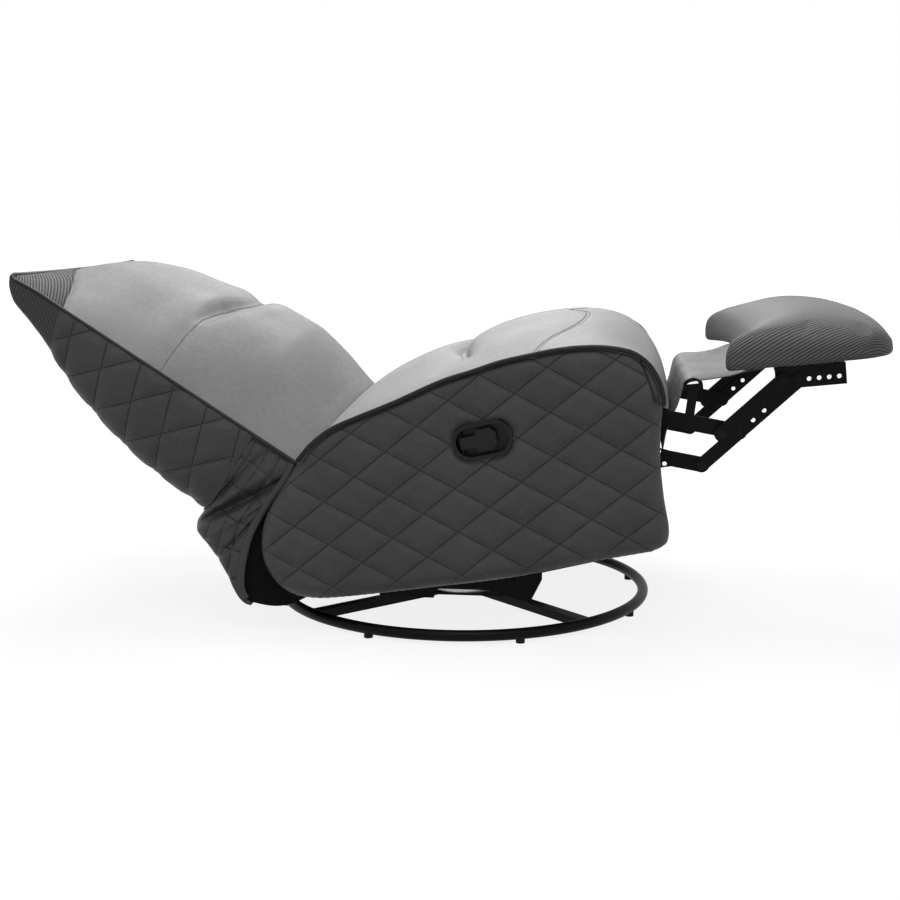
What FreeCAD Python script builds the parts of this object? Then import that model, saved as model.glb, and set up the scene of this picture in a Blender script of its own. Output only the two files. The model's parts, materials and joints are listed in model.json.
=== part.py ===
import FreeCAD, Part
import math
import os

# Swivel rocker recliner without arms, in the pose of a sleeper: footrest out, back let down,
# seat rocked back on its springs. Millimetres, +X forward, +Y to the sitter's left, +Z up,
# origin on the floor under the swivel axis.
# The seat, back and footrest are drawn with the seat level and tipped back at the end.

# Floor ring and its cross arms
RING_RADIUS = 350.0
RING_TUBE = 20.0
FOOT_HEIGHT = 6.0
FOOT_DIAMETER = 16.0
FOOT_COUNT = 8
FOOT_PHASE = 22.5
ARM_COUNT = 4
ARM_WIDTH = 22.0
ARM_HEIGHT = 16.0
ARM_INNER_RADIUS = 24.0
HUB_WIDTH = 230.0
PLATE_GAUGE = 4.0

# Ball race of the swivel
RACE_RADIUS = 95.0
RACE_WIDTH = 34.0
RACE_HEIGHT = 8.0
RACE_SPLIT = 0.8
BALL_DIAMETER = 8.0
BALL_COUNT = 20
KING_BOLT_DIAMETER = 16.0
KING_HEAD_DIAMETER = 26.0
KING_HEAD_HEIGHT = 8.0

# Rocker: carrier on the swivel, shaft, hangers and springs
CARRIER_LENGTH = 260.0
CARRIER_WIDTH = 300.0
ROCK_HEIGHT = 130.0
ROCK_BACK_ANGLE = 6.0
ROCK_SHAFT_DIAMETER = 20.0
ROCK_LOBE_RADIUS = 24.0
ROCK_LOBE_GAP = 4.0
ROCK_PLATE_REAR = 150.0
ROCK_PLATE_FRONT = 162.0
ROCK_NOTCH_REAR = 30.0
ROCK_NOTCH_FRONT = 54.0
ROCK_NOTCH_RISE = 20.0
HANGER_GAP = 4.0
CROSS_REACH = 110.0
CROSS_WIDTH = 40.0
CROSS_HEIGHT = 50.0
CARRIER_RAIL_HEIGHT = 60.0
SPRING_DIAMETER = 52.0
SPRING_WIRE = 6.0
SPRING_TURNS = 6
SPRING_SIDE = 85.0
SPRING_SEAT_GAP = 0.3

# Upholstered seat box, seen from the side with the seat level
SEAT_WIDTH = 710.0
PANEL_PADDING = 24.0
PANEL_ROUND = 9.0
SIDE_BOARD = 18.0
PANEL_REAR_TOP = (-227.0, 343.0)
PANEL_TOP_BEND = (-185.0, 381.0)
PANEL_TOP_KNEE = (-113.0, 408.0)
PANEL_TOP_MID = (70.0, 463.0)
PANEL_TOP_HIGH = (266.0, 491.0)
PANEL_TOP_FRONT = (342.0, 484.0)
PANEL_SHOULDER = (384.0, 452.0)
PANEL_NOSE = (398.0, 390.0)
PANEL_FRONT_MID = (385.0, 280.0)
PANEL_FRONT_LOW = (385.0, 160.0)
PANEL_BOTTOM_FRONT = (364.0, 136.0)
PANEL_BOTTOM_MID = (120.0, 107.0)
PANEL_BOTTOM_REAR = (-175.0, 94.0)
PANEL_HEEL = (-262.0, 104.0)
PANEL_REAR_LOW = (-306.0, 136.0)
PANEL_REAR_MID = (-315.0, 190.0)
PANEL_REAR_HIGH = (-300.0, 246.0)
QUILT_LENGTH = 114.0
QUILT_HEIGHT = 70.0
QUILT_GROOVE_WIDTH = 7.0
QUILT_GROOVE_DEPTH = 3.0
BOARD_INSET = 22.0

# Seat cushion: side and centre profiles
CUSHION_GAP = 0.5
CUSHION_REAR_X = -104.0
CUSHION_TAIL_X = -165.0
CUSHION_TAIL_HEIGHT = 12.0
CUSHION_FRONT_X = 378.0
CUSHION_SPRING_GAP = 1.5
CUSHION_LIP_DEPTH = 43.0
CUSHION_LIP_FRONT_SIDE = 392.0
CUSHION_LIP_FRONT_MID = 407.0
CUSHION_SHOULDER_SIDE = (374.0, 458.0)
CUSHION_SHOULDER_MID = (378.0, 478.0)
CUSHION_HIGH_SIDE = (262.0, 489.0)
CUSHION_HIGH_MID = (255.0, 532.0)
CUSHION_SADDLE_SIDE = (70.0, 461.0)
CUSHION_SADDLE_MID = (80.0, 508.0)
CUSHION_REAR_HIGH_SIDE = (-112.0, 406.0)
CUSHION_REAR_HIGH_MID = (-116.0, 441.0)

# Timber rails and zigzag springs under the cushion
RAIL_THICKNESS = 20.0
FRONT_RAIL_HEIGHT = 30.0
REAR_RAIL_HEIGHT = 20.0
REAR_RAIL_X = -150.0
ZIGZAG_COUNT = 5
ZIGZAG_SPACING = 90.0
ZIGZAG_WIRE = 4.0
ZIGZAG_SWING = 40.0
ZIGZAG_PITCH = 28.0
ZIGZAG_LIFT = 1.0

# Steel plates that carry the back and the footrest linkage
MECH_INNER = 210.0
LINK_GAUGE = 4.0
LAYER_GAP = 0.5
MECH_BAR_HEIGHT = 40.0
PIVOT_LOBE_RADIUS = 20.0
PIVOT_DIAMETER = 8.0
PIVOT_HEAD_DIAMETER = 16.0
PIVOT_HEAD_HEIGHT = 2.5
PIVOT_CLEARANCE = 0.05
OPEN_PIVOT_CLEARANCE = 0.1
RECLINE_LOBE_RADIUS = 24.0
RECLINE_PIN_DIAMETER = 12.0

# Footrest linkage: two parallel rear links, two parallel bars
TORQUE_PIVOT = (268.0, 310.0)
TORQUE_TUBE_DIAMETER = 20.0
LINK_REACH = 190.0
LINK_DROP = 55.0
BAR_ANGLE = 37.3
BAR_PIVOT_GAP = 86.0
BAR_LENGTH = 222.0
BRACKET_PIVOT_GAP = 29.0
REAR_LINK_HEEL_RADIUS = 25.0
LINK_HALF_WIDTH = 14.0
LOWER_BAR_HALF_WIDTH = 12.0
UPPER_BAR_HALF_WIDTH = 14.0
LIGHT_HOLE_DIAMETER = 8.0
LOWER_BAR_HOLE_START = 118.0
LOWER_BAR_HOLE_STEP = 25.0
LOWER_BAR_HOLES = 2
FLAP_BAR_ALONG = 118.0
FLAP_BAR_RISE = 36.0
FLAP_BAR_WIDTH = 34.0
FLAP_BAR_THICKNESS = 10.0
FLAP_ARM_ALONG = 105.0
FLAP_ARM_RADIUS = 8.0

# Footrest
FOOT_BRACKET_REAR = 40.0
FOOT_BRACKET_FRONT = 80.0
FOOT_BRACKET_BELOW = 14.0
FOOT_BRACKET_ABOVE = 23.0
FOOT_BRACKET_HOLES = 4
FOOT_BRACKET_HOLE_STEP = 17.0
STAND_OFF_HEIGHT = 12.0
STAND_OFF_DIAMETER = 14.0
FOOT_BOARD = 13.0
FOOT_BOARD_INSET = 14.0
FOOT_WIDTH = 602.0
FOOT_TIP_REAR = 125.0
FOOT_WAIST_REAR = 84.0
FOOT_CORNER_FRONT = 146.0
FOOT_NOSE_FRONT = 172.0
FOOT_CORNER_ROUND = 18.0
FOOT_PAD_RIM = 26.0
FOOT_PAD_EDGE_RIM = 16.0
FOOT_PAD_EDGE_CROWN = 22.0
FOOT_PAD_CROWN = 82.0

# Leg flap: cloth from the seat lip over the flap bar to the footrest
FLAP_WIDTH = 480.0
CLOTH_GAUGE = 3.0
CLOTH_GAP = 0.3
FLAP_SAG = 10.0

# Backrest, drawn lying flat with its head towards -X and its hinge at the origin
BACK_ANGLE = 38.7
BACK_WIDTH = 650.0
BACK_SET = 12.0
BACK_BOARD = 18.0
BACK_BOARD_START = 60.0
BACK_BOARD_END = 585.0
BACK_LENGTH = 603.0
COVER_START = 95.0
COVER_TIP_DEPTH = 34.0
COVER_UPPER = (500.0, -81.0)
COVER_BELLY = (397.0, -130.0)
COVER_LOWER = (255.0, -166.0)
COVER_END_DEPTH = 183.0
COVER_ROUND = 14.0
BACK_QUILT_LENGTH = 92.0
BACK_QUILT_HEIGHT = 84.0
LUMBAR_START = 32.0
LUMBAR_END = 256.0
LUMBAR_LOW = (2.0, 116.0)
LUMBAR_CROWN = (140.0, 147.0)
LUMBAR_TOP = (247.0, 126.0)
WAIST_GAP = 6.0
HEAD_LOW_HEIGHT = 118.0
HEAD_CROWN = (390.0, 112.0)
HEAD_ROLL = (516.0, 58.0)
HEAD_TIP_HEIGHT = 8.0
CUSHION_EDGE_SHARE = 0.12
BACK_ARM_DEPTH = 45.0
BACK_ARM_ELBOW = 25.0
BACK_ARM_END = 300.0
BACK_ARM_RADIUS = 15.0

# Gathered cloth at the lower back
SKIRT_WIDTH = 636.0
SKIRT_GAUGE = 5.0
SKIRT_SEAM_GAP = 3.0
SKIRT_REAR_TOP = (-431.0, 248.0)
SKIRT_REAR_MID = (-398.0, 150.0)
SKIRT_REAR_LOW = (-376.0, 106.0)
SKIRT_HEEL = (-346.0, 84.0)
SKIRT_TOE = (-322.0, 84.0)
SKIRT_HEM_LOW = (-357.0, 128.0)
SKIRT_HEM_MID = (-340.0, 196.0)
SKIRT_HEM_HIGH = (-300.0, 262.0)
FOLD_DIAMETER = 16.0
FOLD_COUNT = 6
FOLD_SPACING = 100.0

# Pull handle in the right-hand side panel
HANDLE_CENTRE = (93.0, 352.0)
HANDLE_SLOPE = 6.0
CUP_LENGTH = 104.0
CUP_HEIGHT = 63.0
CUP_LIP = 3.0
CUP_FLANGE = 4.0
CUP_WALL = 2.5
CUP_DEPTH = 22.0
PADDLE_GAUGE = 5.0
PADDLE_SET = 2.0
STEM_HEIGHT = 20.0
BLADE_HEIGHT = 38.0
BLADE_REAR = -10.0
BLADE_FRONT = 24.0
BLADE_CHAMFER = 9.0
HANDLE_PIN_OFFSET = 37.0
HANDLE_PIN_DIAMETER = 5.0
HANDLE_BARREL_DIAMETER = 10.0
HANDLE_PIN_BITE = 0.7
CABLE_DIAMETER = 6.0
CABLE_BEND = 30.0
CABLE_END_X = 200.0

# Places that follow from the sizes
Y_AXIS = FreeCAD.Vector(0, 1, 0)
RING_Z = FOOT_HEIGHT + RING_TUBE / 2
ARM_TOP = RING_Z + ARM_HEIGHT / 2
HUB_TOP = ARM_TOP + PLATE_GAUGE
RACE_TOP = HUB_TOP + 2 * RACE_HEIGHT + RACE_SPLIT
CARRIER_TOP = RACE_TOP + PLATE_GAUGE
PANEL_INNER = SEAT_WIDTH / 2 - PANEL_PADDING
BOARD_INNER = PANEL_INNER - SIDE_BOARD
MECH_OUTER = MECH_INNER + LINK_GAUGE
LINK_LAYER = MECH_OUTER + LAYER_GAP
LOWER_BAR_LAYER = LINK_LAYER + LINK_GAUGE + LAYER_GAP
UPPER_BAR_LAYER = LOWER_BAR_LAYER + LINK_GAUGE + LAYER_GAP
BAR_OUTER = UPPER_BAR_LAYER + LINK_GAUGE
RECLINE_PIVOT = PANEL_REAR_TOP


def shifted(point, along, up):
    return (point[0] + along, point[1] + up)


def on_bar(point, distance):
    turn = math.radians(BAR_ANGLE)
    return shifted(point, distance * math.cos(turn), distance * math.sin(turn))


# Pivots of the footrest linkage, all in the level seat's own XZ plane
LOWER_BAR_PIVOT = shifted(TORQUE_PIVOT, LINK_REACH, -LINK_DROP)
CROSS_PIVOT = on_bar(LOWER_BAR_PIVOT, BAR_PIVOT_GAP)
FRONT_LINK_PIVOT = shifted(CROSS_PIVOT, -LINK_REACH, LINK_DROP)
FOOT_PIVOT = on_bar(LOWER_BAR_PIVOT, BAR_LENGTH)
UPPER_FOOT_PIVOT = shifted(FOOT_PIVOT, -BRACKET_PIVOT_GAP, 0)
UPPER_BAR_PIVOT = shifted(CROSS_PIVOT, -BRACKET_PIVOT_GAP, 0)
FLAP_BAR = shifted(FRONT_LINK_PIVOT, FLAP_BAR_ALONG, FLAP_BAR_RISE)
FOOT_BOARD_LOW = FOOT_PIVOT[1] + FOOT_BRACKET_ABOVE + STAND_OFF_HEIGHT
FOOT_PAD_LOW = FOOT_BOARD_LOW + FOOT_BOARD
MECH_BAR_LOW = TORQUE_PIVOT[1] - MECH_BAR_HEIGHT / 2
MECH_BAR_HIGH = TORQUE_PIVOT[1] + MECH_BAR_HEIGHT / 2
CROSS_LOW = MECH_BAR_LOW - CROSS_HEIGHT
FRONT_RAIL_LOW = FRONT_LINK_PIVOT[1] + PIVOT_LOBE_RADIUS + 2
FRONT_RAIL_X = FRONT_LINK_PIVOT[0] + PIVOT_LOBE_RADIUS
FRONT_RAIL_TOP = FRONT_RAIL_LOW + FRONT_RAIL_HEIGHT
REAR_RAIL_TOP = MECH_BAR_HIGH + REAR_RAIL_HEIGHT
CARRIER_RAIL_TOP = CARRIER_TOP + CARRIER_RAIL_HEIGHT
ZIGZAG_FIRST = (REAR_RAIL_X + RAIL_THICKNESS / 2, REAR_RAIL_TOP + ZIGZAG_WIRE / 2)
ZIGZAG_LAST = (FRONT_RAIL_X + ZIGZAG_WIRE, FRONT_RAIL_TOP + ZIGZAG_WIRE / 2 + ZIGZAG_LIFT)


def cushion_floor(x):
    """Point of the cushion's underside, which lies just above the zigzag springs."""
    slope = (ZIGZAG_LAST[1] - ZIGZAG_FIRST[1]) / (ZIGZAG_LAST[0] - ZIGZAG_FIRST[0])
    return (x, ZIGZAG_FIRST[1] + (x - ZIGZAG_FIRST[0]) * slope + ZIGZAG_WIRE / 2 + CUSHION_SPRING_GAP)


CUSHION_REAR_LOW = cushion_floor(CUSHION_REAR_X)
CUSHION_FRONT_LOW = cushion_floor(CUSHION_FRONT_X)
CUSHION_LIP_LOW = CUSHION_FRONT_LOW[1] - CUSHION_LIP_DEPTH


def vector(point, y):
    return FreeCAD.Vector(point[0], y, point[1])


def box(x0, x1, y0, y1, z0, z1):
    return Part.makeBox(x1 - x0, y1 - y0, z1 - z0, FreeCAD.Vector(x0, y0, z0))


def outline_wire(start, steps, y):
    """Closed wire in an XZ plane: a step is a point, or a pair (point passed, end) for an arc."""
    edges = []
    here = start
    for step in steps + [start]:
        if isinstance(step[0], tuple):
            passed, end = step
            edges.append(Part.Arc(vector(here, y), vector(passed, y), vector(end, y)).toShape())
        else:
            end = step
            edges.append(Part.LineSegment(vector(here, y), vector(end, y)).toShape())
        here = end
    return Part.Wire(edges)


def slab(start, steps, y0, y1):
    face = Part.Face(outline_wire(start, steps, y0))
    return face.extrude(FreeCAD.Vector(0, y1 - y0, 0))


def rod(point, diameter, y0, y1):
    return Part.makeCylinder(diameter / 2, y1 - y0, vector(point, y0), Y_AXIS)


def upright(x, y, diameter, z0, z1):
    return Part.makeCylinder(diameter / 2, z1 - z0, FreeCAD.Vector(x, y, z0))


def capsule(first, second, radius, y0, y1):
    """Flat bar with round ends between two pivots."""
    run = math.hypot(second[0] - first[0], second[1] - first[1])
    side = ((second[1] - first[1]) / run * radius, -(second[0] - first[0]) / run * radius)
    tip = ((second[0] - first[0]) / run * radius, (second[1] - first[1]) / run * radius)
    start = shifted(first, side[0], side[1])
    steps = [
        shifted(second, side[0], side[1]),
        (shifted(second, tip[0], tip[1]), shifted(second, -side[0], -side[1])),
        shifted(first, -side[0], -side[1]),
    ]
    bar = slab(start, steps, y0, y1)
    return bar.fuse(rod(first, 2 * radius, y0, y1)).removeSplitter()


def ribbon(points, gauge, y0, y1):
    """Sheet of even thickness that follows a line of points."""
    upper = []
    lower = []
    for index, point in enumerate(points):
        before = points[max(index - 1, 0)]
        after = points[min(index + 1, len(points) - 1)]
        turn = math.atan2(after[1] - before[1], after[0] - before[0])
        off = (-math.sin(turn) * gauge / 2, math.cos(turn) * gauge / 2)
        upper.append(shifted(point, off[0], off[1]))
        lower.append(shifted(point, -off[0], -off[1]))
    ring = upper + lower[::-1]
    return slab(ring[0], ring[1:], y0, y1)


def joined(shapes):
    solid = shapes[0]
    for shape in shapes[1:]:
        solid = solid.fuse(shape)
    return solid.removeSplitter()


def bored(shape, holes, y0, y1):
    for point, diameter in holes:
        shape = shape.cut(rod(point, diameter, y0 - 1, y1 + 1))
    return shape


def mirrored(shape):
    return shape.mirror(FreeCAD.Vector(0, 0, 0), Y_AXIS)


def tipped(shape):
    """From the level seat to the rocked-back pose."""
    copy = shape.copy()
    copy.rotate(FreeCAD.Vector(0, 0, ROCK_HEIGHT), Y_AXIS, -ROCK_BACK_ANGLE)
    return copy


def raised(shape):
    """From the back lying flat at the origin to its place on the level seat."""
    copy = shape.copy()
    copy.rotate(FreeCAD.Vector(0, 0, 0), Y_AXIS, BACK_ANGLE)
    copy.translate(vector(RECLINE_PIVOT, 0))
    return copy


def back_point(along, height):
    """A point of the flat back, given from its hinge, in the level seat's XZ plane."""
    turn = math.radians(BACK_ANGLE)
    x = -along * math.cos(turn) + height * math.sin(turn)
    z = along * math.sin(turn) + height * math.cos(turn)
    return shifted(RECLINE_PIVOT, x, z)


# Floor ring


def base_ring():
    return Part.makeTorus(RING_RADIUS, RING_TUBE / 2, FreeCAD.Vector(0, 0, RING_Z))


def around(shape, count, phase):
    copies = []
    for index in range(count):
        copy = shape.copy()
        copy.rotate(FreeCAD.Vector(0, 0, 0), FreeCAD.Vector(0, 0, 1), phase + index * 360 / count)
        copies.append(copy)
    return Part.makeCompound(copies)


def cross_arms():
    half = ARM_WIDTH / 2
    arm = box(ARM_INNER_RADIUS, RING_RADIUS, -half, half, ARM_TOP - ARM_HEIGHT, ARM_TOP)
    return around(arm.cut(base_ring()), ARM_COUNT, 180 / ARM_COUNT)


def foot_glides():
    foot = upright(RING_RADIUS, 0, FOOT_DIAMETER, 0, RING_Z)
    return around(foot.cut(base_ring()), FOOT_COUNT, FOOT_PHASE)


def hub_plate():
    half = HUB_WIDTH / 2
    plate = box(-half, half, -half, half, ARM_TOP, HUB_TOP)
    return plate.cut(upright(0, 0, KING_BOLT_DIAMETER, ARM_TOP, HUB_TOP))


def race_ring(low, high):
    outer = upright(0, 0, 2 * RACE_RADIUS + RACE_WIDTH, low, high)
    ring = outer.cut(upright(0, 0, 2 * RACE_RADIUS - RACE_WIDTH, low, high))
    groove = Part.makeTorus(RACE_RADIUS, BALL_DIAMETER / 2 + PIVOT_CLEARANCE, ball_centre())
    return ring.cut(groove)


def ball_centre():
    return FreeCAD.Vector(0, 0, HUB_TOP + RACE_HEIGHT + RACE_SPLIT / 2)


def lower_race():
    return race_ring(HUB_TOP, HUB_TOP + RACE_HEIGHT)


def upper_race():
    return race_ring(RACE_TOP - RACE_HEIGHT, RACE_TOP)


def bearing_balls():
    ball = Part.makeSphere(BALL_DIAMETER / 2, ball_centre())
    ball.translate(FreeCAD.Vector(RACE_RADIUS, 0, 0))
    return around(ball, BALL_COUNT, 0)


def king_bolt():
    head = upright(0, 0, KING_HEAD_DIAMETER, ARM_TOP - KING_HEAD_HEIGHT, ARM_TOP)
    nut_low = CARRIER_TOP + LAYER_GAP
    shank = upright(0, 0, KING_BOLT_DIAMETER, ARM_TOP, nut_low + KING_HEAD_HEIGHT)
    nut = upright(0, 0, KING_HEAD_DIAMETER, nut_low, nut_low + KING_HEAD_HEIGHT)
    return joined([head, shank, nut])


# Swivel carrier and rocker


def carrier_plate():
    plate = box(-CARRIER_LENGTH / 2, CARRIER_LENGTH / 2, -CARRIER_WIDTH / 2, CARRIER_WIDTH / 2,
                RACE_TOP, CARRIER_TOP)
    bore = KING_BOLT_DIAMETER + 2 * PIVOT_CLEARANCE
    return plate.cut(upright(0, 0, bore, RACE_TOP, CARRIER_TOP))


def carrier_rail(x):
    half = CARRIER_WIDTH / 2
    return box(x - CROSS_WIDTH / 2, x + CROSS_WIDTH / 2, -half, half, CARRIER_TOP, CARRIER_RAIL_TOP)


def rocker_bracket():
    low = ARM_TOP + ROCK_LOBE_GAP
    shoulder = CARRIER_RAIL_TOP
    centre = (0.0, ROCK_HEIGHT)
    start = (-ROCK_PLATE_REAR, CARRIER_TOP)
    steps = [
        (-ROCK_PLATE_REAR + ROCK_NOTCH_RISE / 2, low),
        (-ROCK_NOTCH_REAR - ROCK_NOTCH_RISE / 2, low),
        (-ROCK_NOTCH_REAR, low + ROCK_NOTCH_RISE),
        (ROCK_NOTCH_FRONT, low + ROCK_NOTCH_RISE),
        (ROCK_PLATE_FRONT - 2 * ROCK_NOTCH_RISE, low),
        (ROCK_PLATE_FRONT - ROCK_NOTCH_RISE, low),
        (ROCK_PLATE_FRONT, CARRIER_TOP + ROCK_NOTCH_RISE),
        (ROCK_PLATE_FRONT, shoulder),
        (ROCK_LOBE_RADIUS, ROCK_HEIGHT),
        (-ROCK_LOBE_RADIUS, ROCK_HEIGHT),
        (-ROCK_PLATE_REAR, shoulder),
    ]
    y0 = CARRIER_WIDTH / 2
    y1 = y0 + PLATE_GAUGE
    plate = slab(start, steps, y0, y1).fuse(rod(centre, 2 * ROCK_LOBE_RADIUS, y0, y1))
    holes = [(centre, ROCK_SHAFT_DIAMETER)]
    for x in (-CROSS_REACH, CROSS_REACH):
        holes.append(((x, CARRIER_TOP + ROCK_NOTCH_RISE), LIGHT_HOLE_DIAMETER))
    return bored(plate.removeSplitter(), holes, y0, y1)


def rock_shaft():
    end = CARRIER_WIDTH / 2 + 2 * PLATE_GAUGE + HANGER_GAP
    cap = PIVOT_HEAD_HEIGHT
    centre = (0.0, ROCK_HEIGHT)
    shaft = rod(centre, ROCK_SHAFT_DIAMETER, -end - LAYER_GAP, end + LAYER_GAP)
    heads = []
    for side in (-1, 1):
        middle = side * (end + LAYER_GAP + cap / 2)
        heads.append(rod(centre, ROCK_SHAFT_DIAMETER + 2 * cap, middle - cap / 2, middle + cap / 2))
    return joined([shaft] + heads)


def hanger():
    y0 = CARRIER_WIDTH / 2 + PLATE_GAUGE + HANGER_GAP
    y1 = y0 + PLATE_GAUGE
    reach = CROSS_REACH + CROSS_WIDTH / 2
    centre = (0.0, ROCK_HEIGHT)
    start = (-reach, CROSS_LOW)
    steps = [(-reach, CROSS_LOW - CROSS_WIDTH / 2), (-ROCK_LOBE_RADIUS, ROCK_HEIGHT),
             (ROCK_LOBE_RADIUS, ROCK_HEIGHT), (reach, CROSS_LOW - CROSS_WIDTH / 2), (reach, CROSS_LOW)]
    plate = slab(start, steps, y0, y1).fuse(rod(centre, 2 * ROCK_LOBE_RADIUS, y0, y1))
    return bored(plate.removeSplitter(), [(centre, ROCK_SHAFT_DIAMETER + 2 * PIVOT_CLEARANCE)], y0, y1)


def cross_beam(x):
    return box(x - CROSS_WIDTH / 2, x + CROSS_WIDTH / 2, -MECH_OUTER, MECH_OUTER, CROSS_LOW, MECH_BAR_LOW)


def arc_from_tangent(start, tangent, end):
    """Circular arc that leaves start along tangent and reaches end."""
    chord = end - start
    across = chord - tangent * chord.dot(tangent)
    if across.Length < 1e-9:
        return Part.LineSegment(start, end).toShape()
    across.normalize()
    radius = chord.Length ** 2 / (2 * chord.dot(across))
    centre = start + across * radius
    middle = (start + end) * 0.5 - centre
    middle.normalize()
    return Part.Arc(start, centre + middle * radius, end).toShape()


def biarc(start, tangent, end, end_tangent):
    """Two arcs in a row that share a tangent where they meet."""
    chord = end - start
    along = chord.dot(tangent + end_tangent)
    spread = 2 * (1 - tangent.dot(end_tangent))
    reach = (-along + math.sqrt(along ** 2 + spread * chord.dot(chord))) / spread
    joint = (start + end + (tangent - end_tangent) * reach) * 0.5
    back = (end_tangent * -1).normalize()
    return [arc_from_tangent(start, tangent, joint), arc_from_tangent(end, back, joint)]


def coil(x, y, low, high):
    """One rocker spring: a tube on quarter-turn biarcs from its seat to the beam above."""
    radius = (SPRING_DIAMETER - SPRING_WIRE) / 2
    quarters = 4 * SPRING_TURNS
    rise = (high - low - SPRING_WIRE) / quarters
    slope = rise / (math.pi / 2)
    points = []
    tangents = []
    for step in range(quarters + 1):
        turn = step * math.pi / 2
        z = low + SPRING_WIRE / 2 + rise * step
        points.append(FreeCAD.Vector(x + radius * math.cos(turn), y + radius * math.sin(turn), z))
        tangent = FreeCAD.Vector(-radius * math.sin(turn), radius * math.cos(turn), slope)
        tangents.append(tangent.normalize())
    edges = []
    for step in range(quarters):
        edges += biarc(points[step], tangents[step], points[step + 1], tangents[step + 1])
    path = Part.Wire(Part.__sortEdges__(edges))
    section = Part.Wire(Part.Circle(points[0], tangents[0], SPRING_WIRE / 2).toShape())
    gap = 4 * rise * math.cos(math.atan2(slope, radius)) - SPRING_WIRE
    print("spring gap between turns %.2f mm" % gap)
    return path.makePipeShell([section], True, False)


def rocker_springs():
    turn = math.radians(ROCK_BACK_ANGLE)
    coils = []
    for reach in (-CROSS_REACH, CROSS_REACH):
        rise = CROSS_LOW - ROCK_HEIGHT
        x = reach * math.cos(turn) - rise * math.sin(turn)
        beam = ROCK_HEIGHT + reach * math.sin(turn) + rise * math.cos(turn)
        high = beam - SPRING_DIAMETER / 2 * math.tan(turn) - SPRING_SEAT_GAP
        x_seat = reach + (x - reach) / 2
        for side in (-SPRING_SIDE, SPRING_SIDE):
            coils.append(coil(x_seat, side, CARRIER_RAIL_TOP + SPRING_SEAT_GAP, high))
    return Part.makeCompound(coils)


# Seat box


def panel_outline(inset):
    """Side panel outline as start and steps; inset draws the whole line in by a shift to its middle."""
    middle = ((PANEL_NOSE[0] + PANEL_REAR_MID[0]) / 2, (PANEL_TOP_HIGH[1] + PANEL_BOTTOM_REAR[1]) / 2)
    half = ((PANEL_NOSE[0] - PANEL_REAR_MID[0]) / 2, (PANEL_TOP_HIGH[1] - PANEL_BOTTOM_REAR[1]) / 2)

    def drawn_in(point):
        return (middle[0] + (point[0] - middle[0]) * (1 - inset / half[0]),
                middle[1] + (point[1] - middle[1]) * (1 - inset / half[1]))

    start = drawn_in(PANEL_REAR_TOP)
    steps = [
        (drawn_in(PANEL_TOP_BEND), drawn_in(PANEL_TOP_KNEE)),
        (drawn_in(PANEL_TOP_MID), drawn_in(PANEL_TOP_HIGH)),
        drawn_in(PANEL_TOP_FRONT),
        (drawn_in(PANEL_SHOULDER), drawn_in(PANEL_NOSE)),
        (drawn_in(PANEL_FRONT_MID), drawn_in(PANEL_FRONT_LOW)),
        drawn_in(PANEL_BOTTOM_FRONT),
        (drawn_in(PANEL_BOTTOM_MID), drawn_in(PANEL_BOTTOM_REAR)),
        (drawn_in(PANEL_HEEL), drawn_in(PANEL_REAR_LOW)),
        (drawn_in(PANEL_REAR_MID), drawn_in(PANEL_REAR_HIGH)),
    ]
    return start, steps


def groove_bars(length, height, reach, centre, face_y):
    """V bars along both diagonals of a diamond quilt on a face at face_y."""
    run = math.hypot(length, height)
    spacing = length * height / run
    count = int(reach / spacing) + 1
    bars = []
    for slope in (math.atan2(height, length), -math.atan2(height, length)):
        for index in range(-count, count + 1):
            half = QUILT_GROOVE_WIDTH / 2
            middle = index * spacing
            corners = [FreeCAD.Vector(-reach, face_y, middle - half),
                       FreeCAD.Vector(-reach, face_y, middle + half),
                       FreeCAD.Vector(-reach, face_y - QUILT_GROOVE_DEPTH, middle)]
            face = Part.Face(Part.makePolygon(corners + [corners[0]]))
            bar = face.extrude(FreeCAD.Vector(2 * reach, 0, 0))
            bar.rotate(FreeCAD.Vector(0, 0, 0), Y_AXIS, -math.degrees(slope))
            bar.translate(vector(centre, 0))
            bars.append(bar)
    return bars


def padded_panel():
    """Left-hand quilted panel: outline slab, drawn-in rim, sewn diamond channels."""
    outer = SEAT_WIDTH / 2
    start, steps = panel_outline(0)
    body = slab(start, steps, PANEL_INNER, outer - PANEL_ROUND)
    inner_start, inner_steps = panel_outline(PANEL_ROUND)
    rim = Part.makeLoft([outline_wire(start, steps, outer - PANEL_ROUND),
                         outline_wire(inner_start, inner_steps, outer)], True, True)
    panel = body.fuse(rim)
    reach = PANEL_NOSE[0] - PANEL_REAR_MID[0]
    bars = groove_bars(QUILT_LENGTH, QUILT_HEIGHT, reach, HANDLE_CENTRE, outer)
    return panel.cut(Part.makeCompound(bars))


def handle_place(shape):
    """From the handle's own frame, outward -Y, to the right-hand panel face."""
    copy = shape.copy()
    copy.rotate(FreeCAD.Vector(0, 0, 0), Y_AXIS, -HANDLE_SLOPE)
    copy.translate(vector(HANDLE_CENTRE, -SEAT_WIDTH / 2))
    return copy


def stadium(length, height, y0, y1):
    half = (length - height) / 2
    return capsule((-half, 0.0), (half, 0.0), height / 2, y0, y1)


def side_panel_left():
    return padded_panel()


def side_panel_right():
    panel = mirrored(padded_panel())
    hole = stadium(CUP_LENGTH - 2 * CUP_FLANGE, CUP_HEIGHT - 2 * CUP_FLANGE, -1, CUP_DEPTH)
    return panel.cut(handle_place(hole)).cut(release_cable())


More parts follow.
